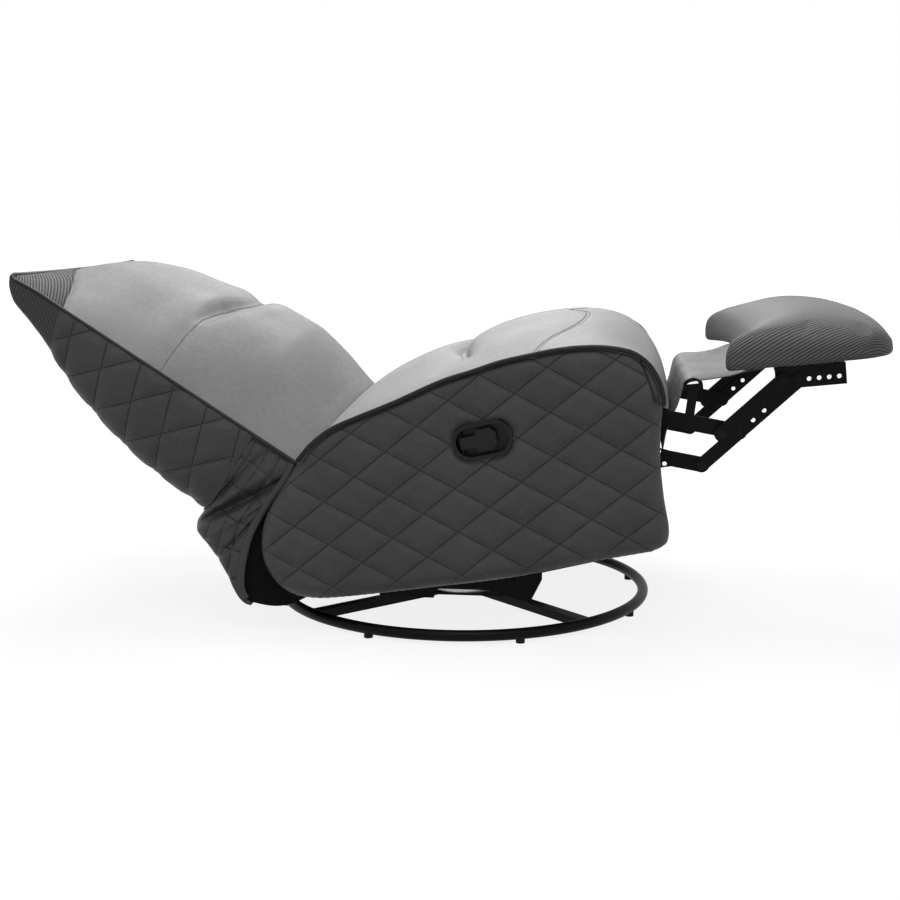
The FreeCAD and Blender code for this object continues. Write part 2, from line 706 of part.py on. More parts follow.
def side_board():
    start = shifted(PANEL_REAR_LOW, BOARD_INSET, BOARD_INSET)
    steps = [
        shifted(PANEL_REAR_TOP, BOARD_INSET, -BOARD_INSET),
        shifted(CUSHION_REAR_LOW, 0, -BOARD_INSET / 2),
        shifted(CUSHION_FRONT_LOW, -BOARD_INSET / 2, -BOARD_INSET / 2),
        shifted(PANEL_FRONT_LOW, -BOARD_INSET, 0),
        shifted(PANEL_BOTTOM_FRONT, -BOARD_INSET, BOARD_INSET / 2),
        shifted(PANEL_BOTTOM_REAR, 0, BOARD_INSET / 2),
    ]
    return slab(start, steps, BOARD_INNER, PANEL_INNER)


def side_board_right():
    return mirrored(side_board()).cut(release_cable())


def between(side, middle, share):
    return (side[0] + (middle[0] - side[0]) * share, side[1] + (middle[1] - side[1]) * share)


def seat_section(y):
    half = PANEL_INNER - CUSHION_GAP
    share = 1 - (y / half) ** 2
    lip = CUSHION_LIP_FRONT_SIDE + (CUSHION_LIP_FRONT_MID - CUSHION_LIP_FRONT_SIDE) * share
    tail_low = cushion_floor(CUSHION_TAIL_X)
    steps = [
        CUSHION_FRONT_LOW,
        (CUSHION_FRONT_X, CUSHION_LIP_LOW),
        (lip, CUSHION_LIP_LOW),
        (between(CUSHION_SHOULDER_SIDE, CUSHION_SHOULDER_MID, share),
         between(CUSHION_HIGH_SIDE, CUSHION_HIGH_MID, share)),
        (between(CUSHION_SADDLE_SIDE, CUSHION_SADDLE_MID, share),
         between(CUSHION_REAR_HIGH_SIDE, CUSHION_REAR_HIGH_MID, share)),
        shifted(CUSHION_REAR_LOW, 0, CUSHION_TAIL_HEIGHT),
        shifted(tail_low, 0, CUSHION_TAIL_HEIGHT),
    ]
    return outline_wire(tail_low, steps, y)


def seat_cushion():
    half = PANEL_INNER - CUSHION_GAP
    stations = [-half, -0.75 * half, -0.4 * half, 0.0, 0.4 * half, 0.75 * half, half]
    return Part.makeLoft([seat_section(y) for y in stations], True, False)


def front_rail():
    return box(FRONT_RAIL_X, FRONT_RAIL_X + RAIL_THICKNESS, -BOARD_INNER, BOARD_INNER,
               FRONT_RAIL_LOW, FRONT_RAIL_TOP)


def rear_rail():
    return box(REAR_RAIL_X, REAR_RAIL_X + RAIL_THICKNESS, -BOARD_INNER, BOARD_INNER,
               MECH_BAR_HIGH, REAR_RAIL_TOP)


def zigzag_spring():
    """One sinuous wire, drawn flat along X and laid from rail to rail."""
    first = ZIGZAG_FIRST
    last = ZIGZAG_LAST
    run = math.hypot(last[0] - first[0], last[1] - first[1])
    turns = int(run / ZIGZAG_PITCH)
    pitch = run / turns
    straight = (ZIGZAG_SWING - pitch) / 2
    edges = []
    for index in range(turns):
        side = 1 if index % 2 == 0 else -1
        x0 = index * pitch
        corner = FreeCAD.Vector(x0, side * straight, 0)
        edges.append(Part.LineSegment(FreeCAD.Vector(x0, 0, 0), corner).toShape())
        top = FreeCAD.Vector(x0 + pitch / 2, side * (straight + pitch / 2), 0)
        end = FreeCAD.Vector(x0 + pitch, side * straight, 0)
        edges.append(Part.Arc(corner, top, end).toShape())
        edges.append(Part.LineSegment(end, FreeCAD.Vector(x0 + pitch, 0, 0)).toShape())
    path = Part.Wire(edges)
    ring = Part.Circle(FreeCAD.Vector(0, 0, 0), Y_AXIS, ZIGZAG_WIRE / 2).toShape()
    wire = path.makePipeShell([Part.Wire(ring)], True, False)
    slope = math.degrees(math.atan2(last[1] - first[1], last[0] - first[0]))
    wire.rotate(FreeCAD.Vector(0, 0, 0), Y_AXIS, -slope)
    wire.translate(vector(first, 0))
    return wire


def seat_springs():
    wires = []
    for index in range(ZIGZAG_COUNT):
        wire = zigzag_spring()
        wire.translate(FreeCAD.Vector(0, (index - (ZIGZAG_COUNT - 1) / 2) * ZIGZAG_SPACING, 0))
        wires.append(wire)
    return Part.makeCompound(wires)


# Steel mechanism


def mech_plate():
    y0 = MECH_INNER
    y1 = MECH_OUTER
    rear = (RECLINE_PIVOT[0], TORQUE_PIVOT[1])
    tab = (FRONT_LINK_PIVOT[0], FRONT_RAIL_TOP - PIVOT_LOBE_RADIUS)
    plate = joined([
        box(rear[0], TORQUE_PIVOT[0], y0, y1, MECH_BAR_LOW, MECH_BAR_HIGH),
        rod(TORQUE_PIVOT, MECH_BAR_HEIGHT, y0, y1),
        capsule(rear, RECLINE_PIVOT, RECLINE_LOBE_RADIUS, y0, y1),
        capsule(TORQUE_PIVOT, FRONT_LINK_PIVOT, PIVOT_LOBE_RADIUS, y0, y1),
        capsule(FRONT_LINK_PIVOT, tab, PIVOT_LOBE_RADIUS, y0, y1),
    ])
    plate = plate.cut(rear_rail()).cut(front_rail())
    holes = [
        (TORQUE_PIVOT, TORQUE_TUBE_DIAMETER + 2 * PIVOT_CLEARANCE),
        (FRONT_LINK_PIVOT, PIVOT_DIAMETER),
        (RECLINE_PIVOT, RECLINE_PIN_DIAMETER),
    ]
    return bored(plate, holes, y0, y1)


def rivet(point, diameter, head, y0, y1, inner_head, outer_head):
    """Pivot pin between two layers of the left-hand side, with a head at either end if wanted."""
    pin = rod(point, diameter, y0, y1)
    if inner_head:
        pin = pin.fuse(rod(point, head, y0 - PIVOT_HEAD_HEIGHT, y0))
    if outer_head:
        pin = pin.fuse(rod(point, head, y1, y1 + PIVOT_HEAD_HEIGHT))
    return pin.removeSplitter()


def both_sides(shapes):
    return Part.makeCompound(shapes + [mirrored(shape) for shape in shapes])


def mech_pins():
    link_pin = rivet(FRONT_LINK_PIVOT, PIVOT_DIAMETER, PIVOT_HEAD_DIAMETER, MECH_INNER,
                     LINK_LAYER + LINK_GAUGE + LAYER_GAP, True, True)
    back_pin = rivet(RECLINE_PIVOT, RECLINE_PIN_DIAMETER, 2 * RECLINE_PIN_DIAMETER, MECH_INNER,
                     LINK_LAYER + LINK_GAUGE + LAYER_GAP, True, True)
    return both_sides([link_pin, back_pin])


def torque_tube():
    end = LINK_LAYER + LINK_GAUGE
    return rod(TORQUE_PIVOT, TORQUE_TUBE_DIAMETER, -end, end)


def rear_link():
    y0 = LINK_LAYER
    y1 = y0 + LINK_GAUGE
    narrow = shifted(TORQUE_PIVOT, LINK_REACH * 0.72, -LINK_DROP * 0.72)
    side = REAR_LINK_HEEL_RADIUS
    start = shifted(TORQUE_PIVOT, 0, side)
    steps = [
        shifted(narrow, 0, LINK_HALF_WIDTH),
        shifted(LOWER_BAR_PIVOT, 0, LINK_HALF_WIDTH),
        shifted(LOWER_BAR_PIVOT, 0, -LINK_HALF_WIDTH),
        shifted(narrow, 0, -LINK_HALF_WIDTH),
        shifted(TORQUE_PIVOT, LINK_REACH * 0.55, -LINK_DROP * 0.55 - side),
        shifted(TORQUE_PIVOT, 0, -side),
    ]
    plate = joined([
        slab(start, steps, y0, y1),
        rod(TORQUE_PIVOT, 2 * side, y0, y1),
        rod(LOWER_BAR_PIVOT, 2 * LINK_HALF_WIDTH, y0, y1),
    ])
    mid = shifted(TORQUE_PIVOT, LINK_REACH * 0.62, -LINK_DROP * 0.62)
    holes = [
        (TORQUE_PIVOT, TORQUE_TUBE_DIAMETER),
        (LOWER_BAR_PIVOT, PIVOT_DIAMETER + 2 * PIVOT_CLEARANCE),
        (shifted(mid, 0, LINK_HALF_WIDTH * 0.6), LIGHT_HOLE_DIAMETER),
        (shifted(mid, LINK_HALF_WIDTH * 0.6, -LINK_HALF_WIDTH), LIGHT_HOLE_DIAMETER),
    ]
    return bored(plate, holes, y0, y1)


def front_link():
    y0 = LINK_LAYER
    y1 = y0 + LINK_GAUGE
    share = FLAP_ARM_ALONG / LINK_REACH
    root = between(FRONT_LINK_PIVOT, CROSS_PIVOT, share)
    tip = shifted(FLAP_BAR, 0, -FLAP_BAR_THICKNESS)
    half = FLAP_BAR_WIDTH / 2
    plate = joined([
        capsule(FRONT_LINK_PIVOT, CROSS_PIVOT, LINK_HALF_WIDTH, y0, y1),
        capsule(CROSS_PIVOT, UPPER_BAR_PIVOT, LINK_HALF_WIDTH, y0, y1),
        capsule(root, tip, FLAP_ARM_RADIUS, y0, y1),
        box(tip[0] - half, tip[0] + half, y0, y1, tip[1], FLAP_BAR[1]),
    ])
    holes = [
        (FRONT_LINK_PIVOT, PIVOT_DIAMETER + 2 * PIVOT_CLEARANCE),
        (CROSS_PIVOT, PIVOT_DIAMETER + 2 * OPEN_PIVOT_CLEARANCE),
        (UPPER_BAR_PIVOT, PIVOT_DIAMETER + 2 * PIVOT_CLEARANCE),
    ]
    return bored(plate, holes, y0, y1)


def flap_bar():
    half = FLAP_BAR_WIDTH / 2
    low = FLAP_BAR[1] - FLAP_BAR_THICKNESS
    high = FLAP_BAR[1] + FLAP_BAR_THICKNESS
    start = (FLAP_BAR[0] - half, low)
    steps = [
        (FLAP_BAR[0] - half, FLAP_BAR[1]),
        ((FLAP_BAR[0], high), (FLAP_BAR[0] + half, FLAP_BAR[1])),
        (FLAP_BAR[0] + half, low),
        (FLAP_BAR[0] + half - LINK_GAUGE, low),
        (FLAP_BAR[0] + half - LINK_GAUGE, FLAP_BAR[1] - LINK_GAUGE),
        ((FLAP_BAR[0], high - LINK_GAUGE), (FLAP_BAR[0] - half + LINK_GAUGE, FLAP_BAR[1] - LINK_GAUGE)),
        (FLAP_BAR[0] - half + LINK_GAUGE, low),
    ]
    return slab(start, steps, -LINK_LAYER, LINK_LAYER)


def lower_bar():
    y0 = LOWER_BAR_LAYER
    y1 = y0 + LINK_GAUGE
    plate = capsule(LOWER_BAR_PIVOT, FOOT_PIVOT, LOWER_BAR_HALF_WIDTH, y0, y1)
    holes = [
        (LOWER_BAR_PIVOT, PIVOT_DIAMETER),
        (CROSS_PIVOT, PIVOT_DIAMETER),
        (FOOT_PIVOT, PIVOT_DIAMETER + 2 * OPEN_PIVOT_CLEARANCE),
    ]
    for index in range(LOWER_BAR_HOLES):
        distance = LOWER_BAR_HOLE_START + index * LOWER_BAR_HOLE_STEP
        holes.append((on_bar(LOWER_BAR_PIVOT, distance), LIGHT_HOLE_DIAMETER))
    return bored(plate, holes, y0, y1)


def lower_bar_pins():
    outer = LOWER_BAR_LAYER + LINK_GAUGE
    end = rivet(LOWER_BAR_PIVOT, PIVOT_DIAMETER, PIVOT_HEAD_DIAMETER, LINK_LAYER, outer, False, True)
    cross = rivet(CROSS_PIVOT, PIVOT_DIAMETER, PIVOT_HEAD_DIAMETER, LINK_LAYER, outer, False, False)
    return both_sides([end, cross])


def upper_bar():
    y0 = UPPER_BAR_LAYER
    y1 = BAR_OUTER
    plate = capsule(UPPER_BAR_PIVOT, UPPER_FOOT_PIVOT, UPPER_BAR_HALF_WIDTH, y0, y1)
    holes = [(UPPER_BAR_PIVOT, PIVOT_DIAMETER), (UPPER_FOOT_PIVOT, PIVOT_DIAMETER)]
    return bored(plate, holes, y0, y1)


def upper_bar_pins():
    pins = []
    for point in (UPPER_BAR_PIVOT, UPPER_FOOT_PIVOT):
        pins.append(rivet(point, PIVOT_DIAMETER, PIVOT_HEAD_DIAMETER, LINK_LAYER, BAR_OUTER, False, True))
    return both_sides(pins)


# Footrest


def footrest_bracket():
    y0 = LINK_LAYER
    y1 = y0 + LINK_GAUGE
    x0 = FOOT_PIVOT[0] - FOOT_BRACKET_REAR
    x1 = FOOT_PIVOT[0] + FOOT_BRACKET_FRONT
    low = FOOT_PIVOT[1] - FOOT_BRACKET_BELOW
    high = FOOT_PIVOT[1] + FOOT_BRACKET_ABOVE
    web = box(x0, x1, y0, y1, low, high)
    flange = box(x0, x1, y0 - STAND_OFF_DIAMETER, y0, high - LINK_GAUGE, high)
    plate = joined([web, flange])
    holes = [
        (FOOT_PIVOT, PIVOT_DIAMETER),
        (UPPER_FOOT_PIVOT, PIVOT_DIAMETER + 2 * PIVOT_CLEARANCE),
    ]
    for index in range(FOOT_BRACKET_HOLES):
        distance = (index + 1) * FOOT_BRACKET_HOLE_STEP
        holes.append((shifted(FOOT_PIVOT, distance, 0), LIGHT_HOLE_DIAMETER))
    return bored(plate, holes, y0, y1)


def footrest_pins():
    pin = rivet(FOOT_PIVOT, PIVOT_DIAMETER, PIVOT_HEAD_DIAMETER, LINK_LAYER,
                LOWER_BAR_LAYER + LINK_GAUGE, False, False)
    return both_sides([pin])


def stand_offs():
    y = LINK_LAYER - STAND_OFF_DIAMETER / 2
    high = FOOT_PIVOT[1] + FOOT_BRACKET_ABOVE
    spacers = []
    for x in (FOOT_PIVOT[0] - FOOT_BRACKET_REAR + STAND_OFF_DIAMETER,
              FOOT_PIVOT[0] + FOOT_BRACKET_FRONT - STAND_OFF_DIAMETER):
        spacers.append(upright(x, y, STAND_OFF_DIAMETER, high, FOOT_BOARD_LOW))
    return both_sides(spacers)


def foot_edges(y, inset):
    """Rear and front edge of the boomerang footrest at a distance y from its middle."""
    share = (y / (FOOT_WIDTH / 2)) ** 2
    rear = -FOOT_WAIST_REAR - (FOOT_TIP_REAR - FOOT_WAIST_REAR) * share ** 2
    front = FOOT_NOSE_FRONT + (FOOT_CORNER_FRONT - FOOT_NOSE_FRONT) * share
    return FOOT_PIVOT[0] + rear + inset, FOOT_PIVOT[0] + front - inset


def footrest_board():
    half = FOOT_WIDTH / 2 - FOOT_BOARD_INSET
    rear_tip, front_tip = foot_edges(half, FOOT_BOARD_INSET)
    rear_mid, front_mid = foot_edges(0, FOOT_BOARD_INSET)

    def corner(x, y):
        return FreeCAD.Vector(x, y, FOOT_BOARD_LOW)

    edges = [
        Part.Arc(corner(rear_tip, -half), corner(rear_mid, 0), corner(rear_tip, half)).toShape(),
        Part.LineSegment(corner(rear_tip, half), corner(front_tip, half)).toShape(),
        Part.Arc(corner(front_tip, half), corner(front_mid, 0), corner(front_tip, -half)).toShape(),
        Part.LineSegment(corner(front_tip, -half), corner(rear_tip, -half)).toShape(),
    ]
    board = Part.Face(Part.Wire(edges)).extrude(FreeCAD.Vector(0, 0, FOOT_BOARD))
    corners = [edge for edge in board.Edges if edge.Curve.TypeId == "Part::GeomLine"
               and abs(edge.Vertexes[0].Z - edge.Vertexes[1].Z) > FOOT_BOARD / 2]
    return board.makeFillet(FOOT_CORNER_ROUND, corners)


def pad_section(y):
    half = FOOT_WIDTH / 2
    share = 1 - (y / half) ** 2
    rear, front = foot_edges(y, 0)
    rim = FOOT_PAD_EDGE_RIM + (FOOT_PAD_RIM - FOOT_PAD_EDGE_RIM) * share
    crown = FOOT_PAD_EDGE_CROWN + (FOOT_PAD_CROWN - FOOT_PAD_EDGE_CROWN) * math.sqrt(share)
    top = FOOT_PAD_LOW + rim
    steps = [
        (front, FOOT_PAD_LOW),
        (front, top),
        (((rear + front) / 2, FOOT_PAD_LOW + crown), (rear, top)),
    ]
    return outline_wire((rear, FOOT_PAD_LOW), steps, y)


def footrest_pad():
    half = FOOT_WIDTH / 2
    stations = [-half, -0.85 * half, -0.5 * half, 0.0, 0.5 * half, 0.85 * half, half]
    return Part.makeLoft([pad_section(y) for y in stations], True, False)


# Leg flap


def leg_flap():
    off = CLOTH_GAUGE / 2 + CLOTH_GAP
    over = FLAP_BAR[1] + FLAP_BAR_THICKNESS + off
    rear, _ = foot_edges(0, FOOT_BOARD_INSET)
    points = [
        (CUSHION_FRONT_X + CLOTH_GAUGE, CUSHION_LIP_LOW - off),
        (CUSHION_LIP_FRONT_MID + 2 * CLOTH_GAUGE, CUSHION_LIP_LOW - off),
        (FLAP_BAR[0] - FLAP_BAR_WIDTH, FLAP_BAR[1] - FLAP_SAG),
        (FLAP_BAR[0] - FLAP_BAR_WIDTH / 2, over - CLOTH_GAUGE),
        (FLAP_BAR[0], over),
        (FLAP_BAR[0] + FLAP_BAR_WIDTH / 2, over),
        (rear - FLAP_BAR_WIDTH, over + FLAP_SAG / 2),
        (rear - FLAP_BAR_WIDTH / 2, FOOT_BOARD_LOW - off),
        (rear + FLAP_BAR_WIDTH, FOOT_BOARD_LOW - off),
    ]
    return ribbon(points, CLOTH_GAUGE, -FLAP_WIDTH / 2, FLAP_WIDTH / 2)


# Backrest, in its flat frame: along the back is -X, the front is +Z


def flat(along, height):
    return (-along, height)


def back_board():
    half = BACK_WIDTH / 2 - COVER_ROUND
    return box(-BACK_BOARD_END, -BACK_BOARD_START, -half, half, -BACK_SET - BACK_BOARD, -BACK_SET)


def back_arm():
    y0 = LINK_LAYER
    y1 = y0 + LINK_GAUGE
    hinge = (0.0, 0.0)
    elbow = flat(BACK_ARM_ELBOW, -BACK_ARM_DEPTH)
    end = flat(BACK_ARM_END, -BACK_ARM_DEPTH)
    arm = joined([capsule(hinge, elbow, BACK_ARM_RADIUS, y0, y1), capsule(elbow, end, BACK_ARM_RADIUS, y0, y1)])
    arm = arm.cut(back_board())
    return bored(arm, [(hinge, RECLINE_PIN_DIAMETER + 2 * PIVOT_CLEARANCE)], y0, y1)


def cover_outline(inset):
    top = -BACK_SET - BACK_BOARD
    start = flat(COVER_START, top)
    steps = [
        flat(BACK_LENGTH - inset, top),
        flat(BACK_LENGTH - inset, -COVER_TIP_DEPTH + inset / 4),
        (flat(COVER_UPPER[0], COVER_UPPER[1] + inset), flat(COVER_BELLY[0], COVER_BELLY[1] + inset)),
        (flat(COVER_LOWER[0], COVER_LOWER[1] + inset), flat(COVER_START, -COVER_END_DEPTH + inset)),
    ]
    return start, steps


def back_cover():
    """Quilted rear padding: a wedge with drawn-in sides and sewn diamonds on both flanks."""
    half = BACK_WIDTH / 2
    start, steps = cover_outline(0)
    body = slab(start, steps, -half + COVER_ROUND, half - COVER_ROUND)
    inner_start, inner_steps = cover_outline(COVER_ROUND)
    flank = Part.makeLoft([outline_wire(start, steps, half - COVER_ROUND),
                           outline_wire(inner_start, inner_steps, half)], True, True)
    cover = joined([body, flank, mirrored(flank)])
    centre = flat(COVER_LOWER[0], COVER_LOWER[1] / 2)
    bars = groove_bars(BACK_QUILT_LENGTH, BACK_QUILT_HEIGHT, BACK_LENGTH, centre, half)
    room = BACK_ARM_RADIUS + LAYER_GAP
    slot = box(-BACK_ARM_END - room, -COVER_START + 1, LINK_LAYER - LAYER_GAP, LINK_LAYER + LINK_GAUGE + LAYER_GAP,
               -BACK_ARM_DEPTH - room, -BACK_SET)
    cutters = bars + [mirrored(bar) for bar in bars] + [slot, mirrored(slot)]
    return cover.cut(Part.makeCompound(cutters))


def swelled(height, share):
    return -BACK_SET + (height + BACK_SET) * share


def lumbar_section(y):
    share = CUSHION_EDGE_SHARE + (1 - CUSHION_EDGE_SHARE) * (1 - (y / (BACK_WIDTH / 2)) ** 2)
    low_along = LUMBAR_START + (LUMBAR_LOW[0] - LUMBAR_START) * share
    steps = [
        flat(low_along, swelled(LUMBAR_LOW[1], share)),
        (flat(LUMBAR_CROWN[0], swelled(LUMBAR_CROWN[1], share)),
         flat(LUMBAR_TOP[0], swelled(LUMBAR_TOP[1], share))),
        flat(LUMBAR_END, -BACK_SET),
    ]
    return outline_wire(flat(LUMBAR_START, -BACK_SET), steps, y)


def head_section(y):
    share = CUSHION_EDGE_SHARE + (1 - CUSHION_EDGE_SHARE) * (1 - (y / (BACK_WIDTH / 2)) ** 2)
    low = LUMBAR_END + WAIST_GAP
    steps = [
        flat(low - WAIST_GAP / 2, swelled(HEAD_LOW_HEIGHT, share)),
        (flat(HEAD_CROWN[0], swelled(HEAD_CROWN[1], share)),
         flat(HEAD_ROLL[0], swelled(HEAD_ROLL[1], share))),
        flat(BACK_LENGTH, swelled(HEAD_TIP_HEIGHT, share)),
        flat(BACK_LENGTH, -BACK_SET),
    ]
    return outline_wire(flat(low, -BACK_SET), steps, y)


def back_pad(section):
    half = BACK_WIDTH / 2
    stations = [-half, -0.85 * half, -0.5 * half, 0.0, 0.5 * half, 0.85 * half, half]
    return Part.makeLoft([section(y) for y in stations], True, False)


# Gathered skirt


def rear_skirt():
    half = SKIRT_WIDTH / 2
    seam_front = back_point(COVER_START - SKIRT_SEAM_GAP, -BACK_SET - SKIRT_SEAM_GAP)
    seam_rear = back_point(COVER_START - SKIRT_SEAM_GAP, -COVER_END_DEPTH)
    hem_top = back_point(SKIRT_SEAM_GAP, -BACK_SET - BACK_BOARD)
    line = [seam_rear, SKIRT_REAR_TOP, SKIRT_REAR_MID, SKIRT_REAR_LOW, SKIRT_HEEL, SKIRT_TOE]
    hem = [SKIRT_HEM_LOW, SKIRT_HEM_MID, SKIRT_HEM_HIGH, hem_top]
    wing = slab(seam_front, line + hem, half - SKIRT_GAUGE, half)
    wall = ribbon(line, SKIRT_GAUGE, -half + SKIRT_GAUGE, half - SKIRT_GAUGE)
    folds = []
    foot = vector(SKIRT_REAR_LOW, 0)
    rise = vector(SKIRT_REAR_TOP, 0) - foot
    for index in range(FOLD_COUNT):
        y = (index - (FOLD_COUNT - 1) / 2) * FOLD_SPACING
        fold = Part.makeCylinder(FOLD_DIAMETER / 2, rise.Length, foot + Y_AXIS * y, rise)
        folds.append(fold)
    return joined([wing, mirrored(wing), wall] + folds)


# Pull handle and its cable


def handle_cup():
    flange = stadium(CUP_LENGTH, CUP_HEIGHT, -CUP_LIP, 0)
    body = stadium(CUP_LENGTH - 2 * CUP_FLANGE, CUP_HEIGHT - 2 * CUP_FLANGE, 0, CUP_DEPTH)
    pocket_cut = 2 * (CUP_FLANGE + CUP_WALL)
    pocket = stadium(CUP_LENGTH - pocket_cut, CUP_HEIGHT - pocket_cut, -CUP_LIP, CUP_DEPTH - CUP_WALL)
    cup = joined([flange, body]).cut(pocket)
    return handle_place(cup.cut(handle_pin_rod(HANDLE_PIN_DIAMETER)))


def pin_depth():
    return PADDLE_SET + HANDLE_BARREL_DIAMETER / 2


def handle_pin_rod(diameter):
    """Pin across the pocket, into both walls by a small bite."""
    radius = CUP_HEIGHT / 2 - CUP_FLANGE - CUP_WALL
    centre = (CUP_LENGTH - CUP_HEIGHT) / 2
    half = math.sqrt(radius ** 2 - (HANDLE_PIN_OFFSET - centre) ** 2) + HANDLE_PIN_BITE
    return upright_pin(-HANDLE_PIN_OFFSET, pin_depth(), diameter, half)


def upright_pin(x, y, diameter, half):
    return Part.makeCylinder(diameter / 2, 2 * half, FreeCAD.Vector(x, y, -half))


def handle_pin():
    return handle_place(handle_pin_rod(HANDLE_PIN_DIAMETER))


def pull_handle():
    y0 = PADDLE_SET
    y1 = y0 + PADDLE_GAUGE
    half = BLADE_HEIGHT / 2
    stem = STEM_HEIGHT / 2
    start = (-HANDLE_PIN_OFFSET, -stem)
    steps = [
        (BLADE_REAR, -stem),
        (BLADE_REAR, -half),
        (BLADE_FRONT - BLADE_CHAMFER, -half),
        (BLADE_FRONT, -half + BLADE_CHAMFER),
        (BLADE_FRONT, half - BLADE_CHAMFER),
        (BLADE_FRONT - BLADE_CHAMFER, half),
        (BLADE_REAR, half),
        (BLADE_REAR, stem),
        (-HANDLE_PIN_OFFSET, stem),
    ]
    paddle = slab(start, steps, y0, y1)
    barrel = upright_pin(-HANDLE_PIN_OFFSET, pin_depth(), HANDLE_BARREL_DIAMETER, stem)
    bore = upright_pin(-HANDLE_PIN_OFFSET, pin_depth(), HANDLE_PIN_DIAMETER + 2 * PIVOT_CLEARANCE, stem)
    return handle_place(joined([paddle, barrel]).cut(bore))


def release_cable():
    """Sheathed wire from the back of the cup through the side board to the mechanism plate."""
    start = FreeCAD.Vector(HANDLE_CENTRE[0], -SEAT_WIDTH / 2 + CUP_DEPTH, HANDLE_CENTRE[1] - CUP_HEIGHT / 4)
    inside = FreeCAD.Vector(start.x, -(BOARD_INNER + MECH_OUTER) / 2, start.z)
    ahead = FreeCAD.Vector(CABLE_END_X, inside.y, TORQUE_PIVOT[1])
    end = FreeCAD.Vector(CABLE_END_X, -MECH_OUTER, TORQUE_PIVOT[1])
    points = [start, inside, ahead, end]
    edges = []
    here = start
    for index in (1, 2):
        before = (points[index - 1] - points[index]).normalize()
        after = (points[index + 1] - points[index]).normalize()
        half_turn = before.getAngle(after) / 2
        cut = CABLE_BEND / math.tan(half_turn)
        first = points[index] + before * cut
        second = points[index] + after * cut
        inner = (before + after).normalize()
        centre = points[index] + inner * (CABLE_BEND / math.sin(half_turn))
        edges.append(Part.LineSegment(here, first).toShape())
        edges.append(Part.Arc(first, centre - inner * CABLE_BEND, second).toShape())
        here = second
    edges.append(Part.LineSegment(here, end).toShape())
    section = Part.Wire(Part.Circle(start, points[1] - start, CABLE_DIAMETER / 2).toShape())
    return Part.Wire(edges).makePipeShell([section], True, False)


def on_base():
    return {
        "base_ring": base_ring(),
        "cross_arms": cross_arms(),
        "foot_glides": foot_glides(),
        "hub_plate": hub_plate(),
        "lower_race": lower_race(),
        "bearing_balls": bearing_balls(),
        "king_bolt": king_bolt(),
        "upper_race": upper_race(),
        "carrier_plate": carrier_plate(),
        "carrier_rail_front": carrier_rail(CROSS_REACH),
        "carrier_rail_rear": carrier_rail(-CROSS_REACH),
        "rocker_bracket_left": rocker_bracket(),
        "rocker_bracket_right": mirrored(rocker_bracket()),
        "rock_shaft": rock_shaft(),
        "rocker_springs": rocker_springs(),
    }


def on_seat():
    return {
        "hanger_left": hanger(),
        "hanger_right": mirrored(hanger()),
        "cross_beam_front": cross_beam(CROSS_REACH),
        "cross_beam_rear": cross_beam(-CROSS_REACH),
        "mech_plate_left": mech_plate(),
        "mech_plate_right": mirrored(mech_plate()),
        "mech_pins": mech_pins(),
        "front_rail": front_rail(),
        "rear_rail": rear_rail(),
        "seat_springs": seat_springs(),
        "side_board_left": side_board(),
        "side_board_right": side_board_right(),
        "side_panel_left": side_panel_left(),
        "side_panel_right": side_panel_right(),
        "seat_cushion": seat_cushion(),
        "handle_cup": handle_cup(),
        "handle_pin": handle_pin(),
        "pull_handle": pull_handle(),
        "release_cable": release_cable(),
        "rear_skirt": rear_skirt(),
        "leg_flap": leg_flap(),
        "torque_tube": torque_tube(),
        "rear_link_left": rear_link(),
        "rear_link_right": mirrored(rear_link()),
        "front_link_left": front_link(),
        "front_link_right": mirrored(front_link()),
        "flap_bar": flap_bar(),
        "lower_bar_left": lower_bar(),
        "lower_bar_right": mirrored(lower_bar()),
        "lower_bar_pins": lower_bar_pins(),
        "upper_bar_left": upper_bar(),
        "upper_bar_right": mirrored(upper_bar()),
        "upper_bar_pins": upper_bar_pins(),
        "footrest_bracket_left": footrest_bracket(),
        "footrest_bracket_right": mirrored(footrest_bracket()),
        "footrest_pins": footrest_pins(),
        "stand_offs": stand_offs(),
        "footrest_board": footrest_board(),
        "footrest_pad": footrest_pad(),
    }


def on_back():
    return {
        "back_board": back_board(),
        "back_arm_left": back_arm(),
        "back_arm_right": mirrored(back_arm()),
        "back_cover": back_cover(),
        "lumbar_cushion": back_pad(lumbar_section),
        "head_cushion": back_pad(head_section),
    }


def main():
    os.makedirs("parts", exist_ok=True)
    nodes = on_base()
    for name, shape in on_seat().items():
        nodes[name] = tipped(shape)
    for name, shape in on_back().items():
        nodes[name] = tipped(raised(shape))
    for name, shape in nodes.items():
        if not shape.isValid():
            print("not valid:", name)
        shape.exportStep("parts/%s.step" % name)
    print(len(nodes), "nodes")


main()
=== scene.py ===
# %% [markdown]
# # A reclining armchair, dressed
# The steel, timber and plastic of this chair come in as a finished CAD model. What is missing is
# everything soft: leather, foam, quilting, piping and thread. This notebook sews those on, piece by
# piece, then gives every surface its finish, a floor and some light.

# %% Load the hard parts
import json
import math

import bpy
import numpy as np
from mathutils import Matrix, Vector, geometry
from mathutils.kdtree import KDTree


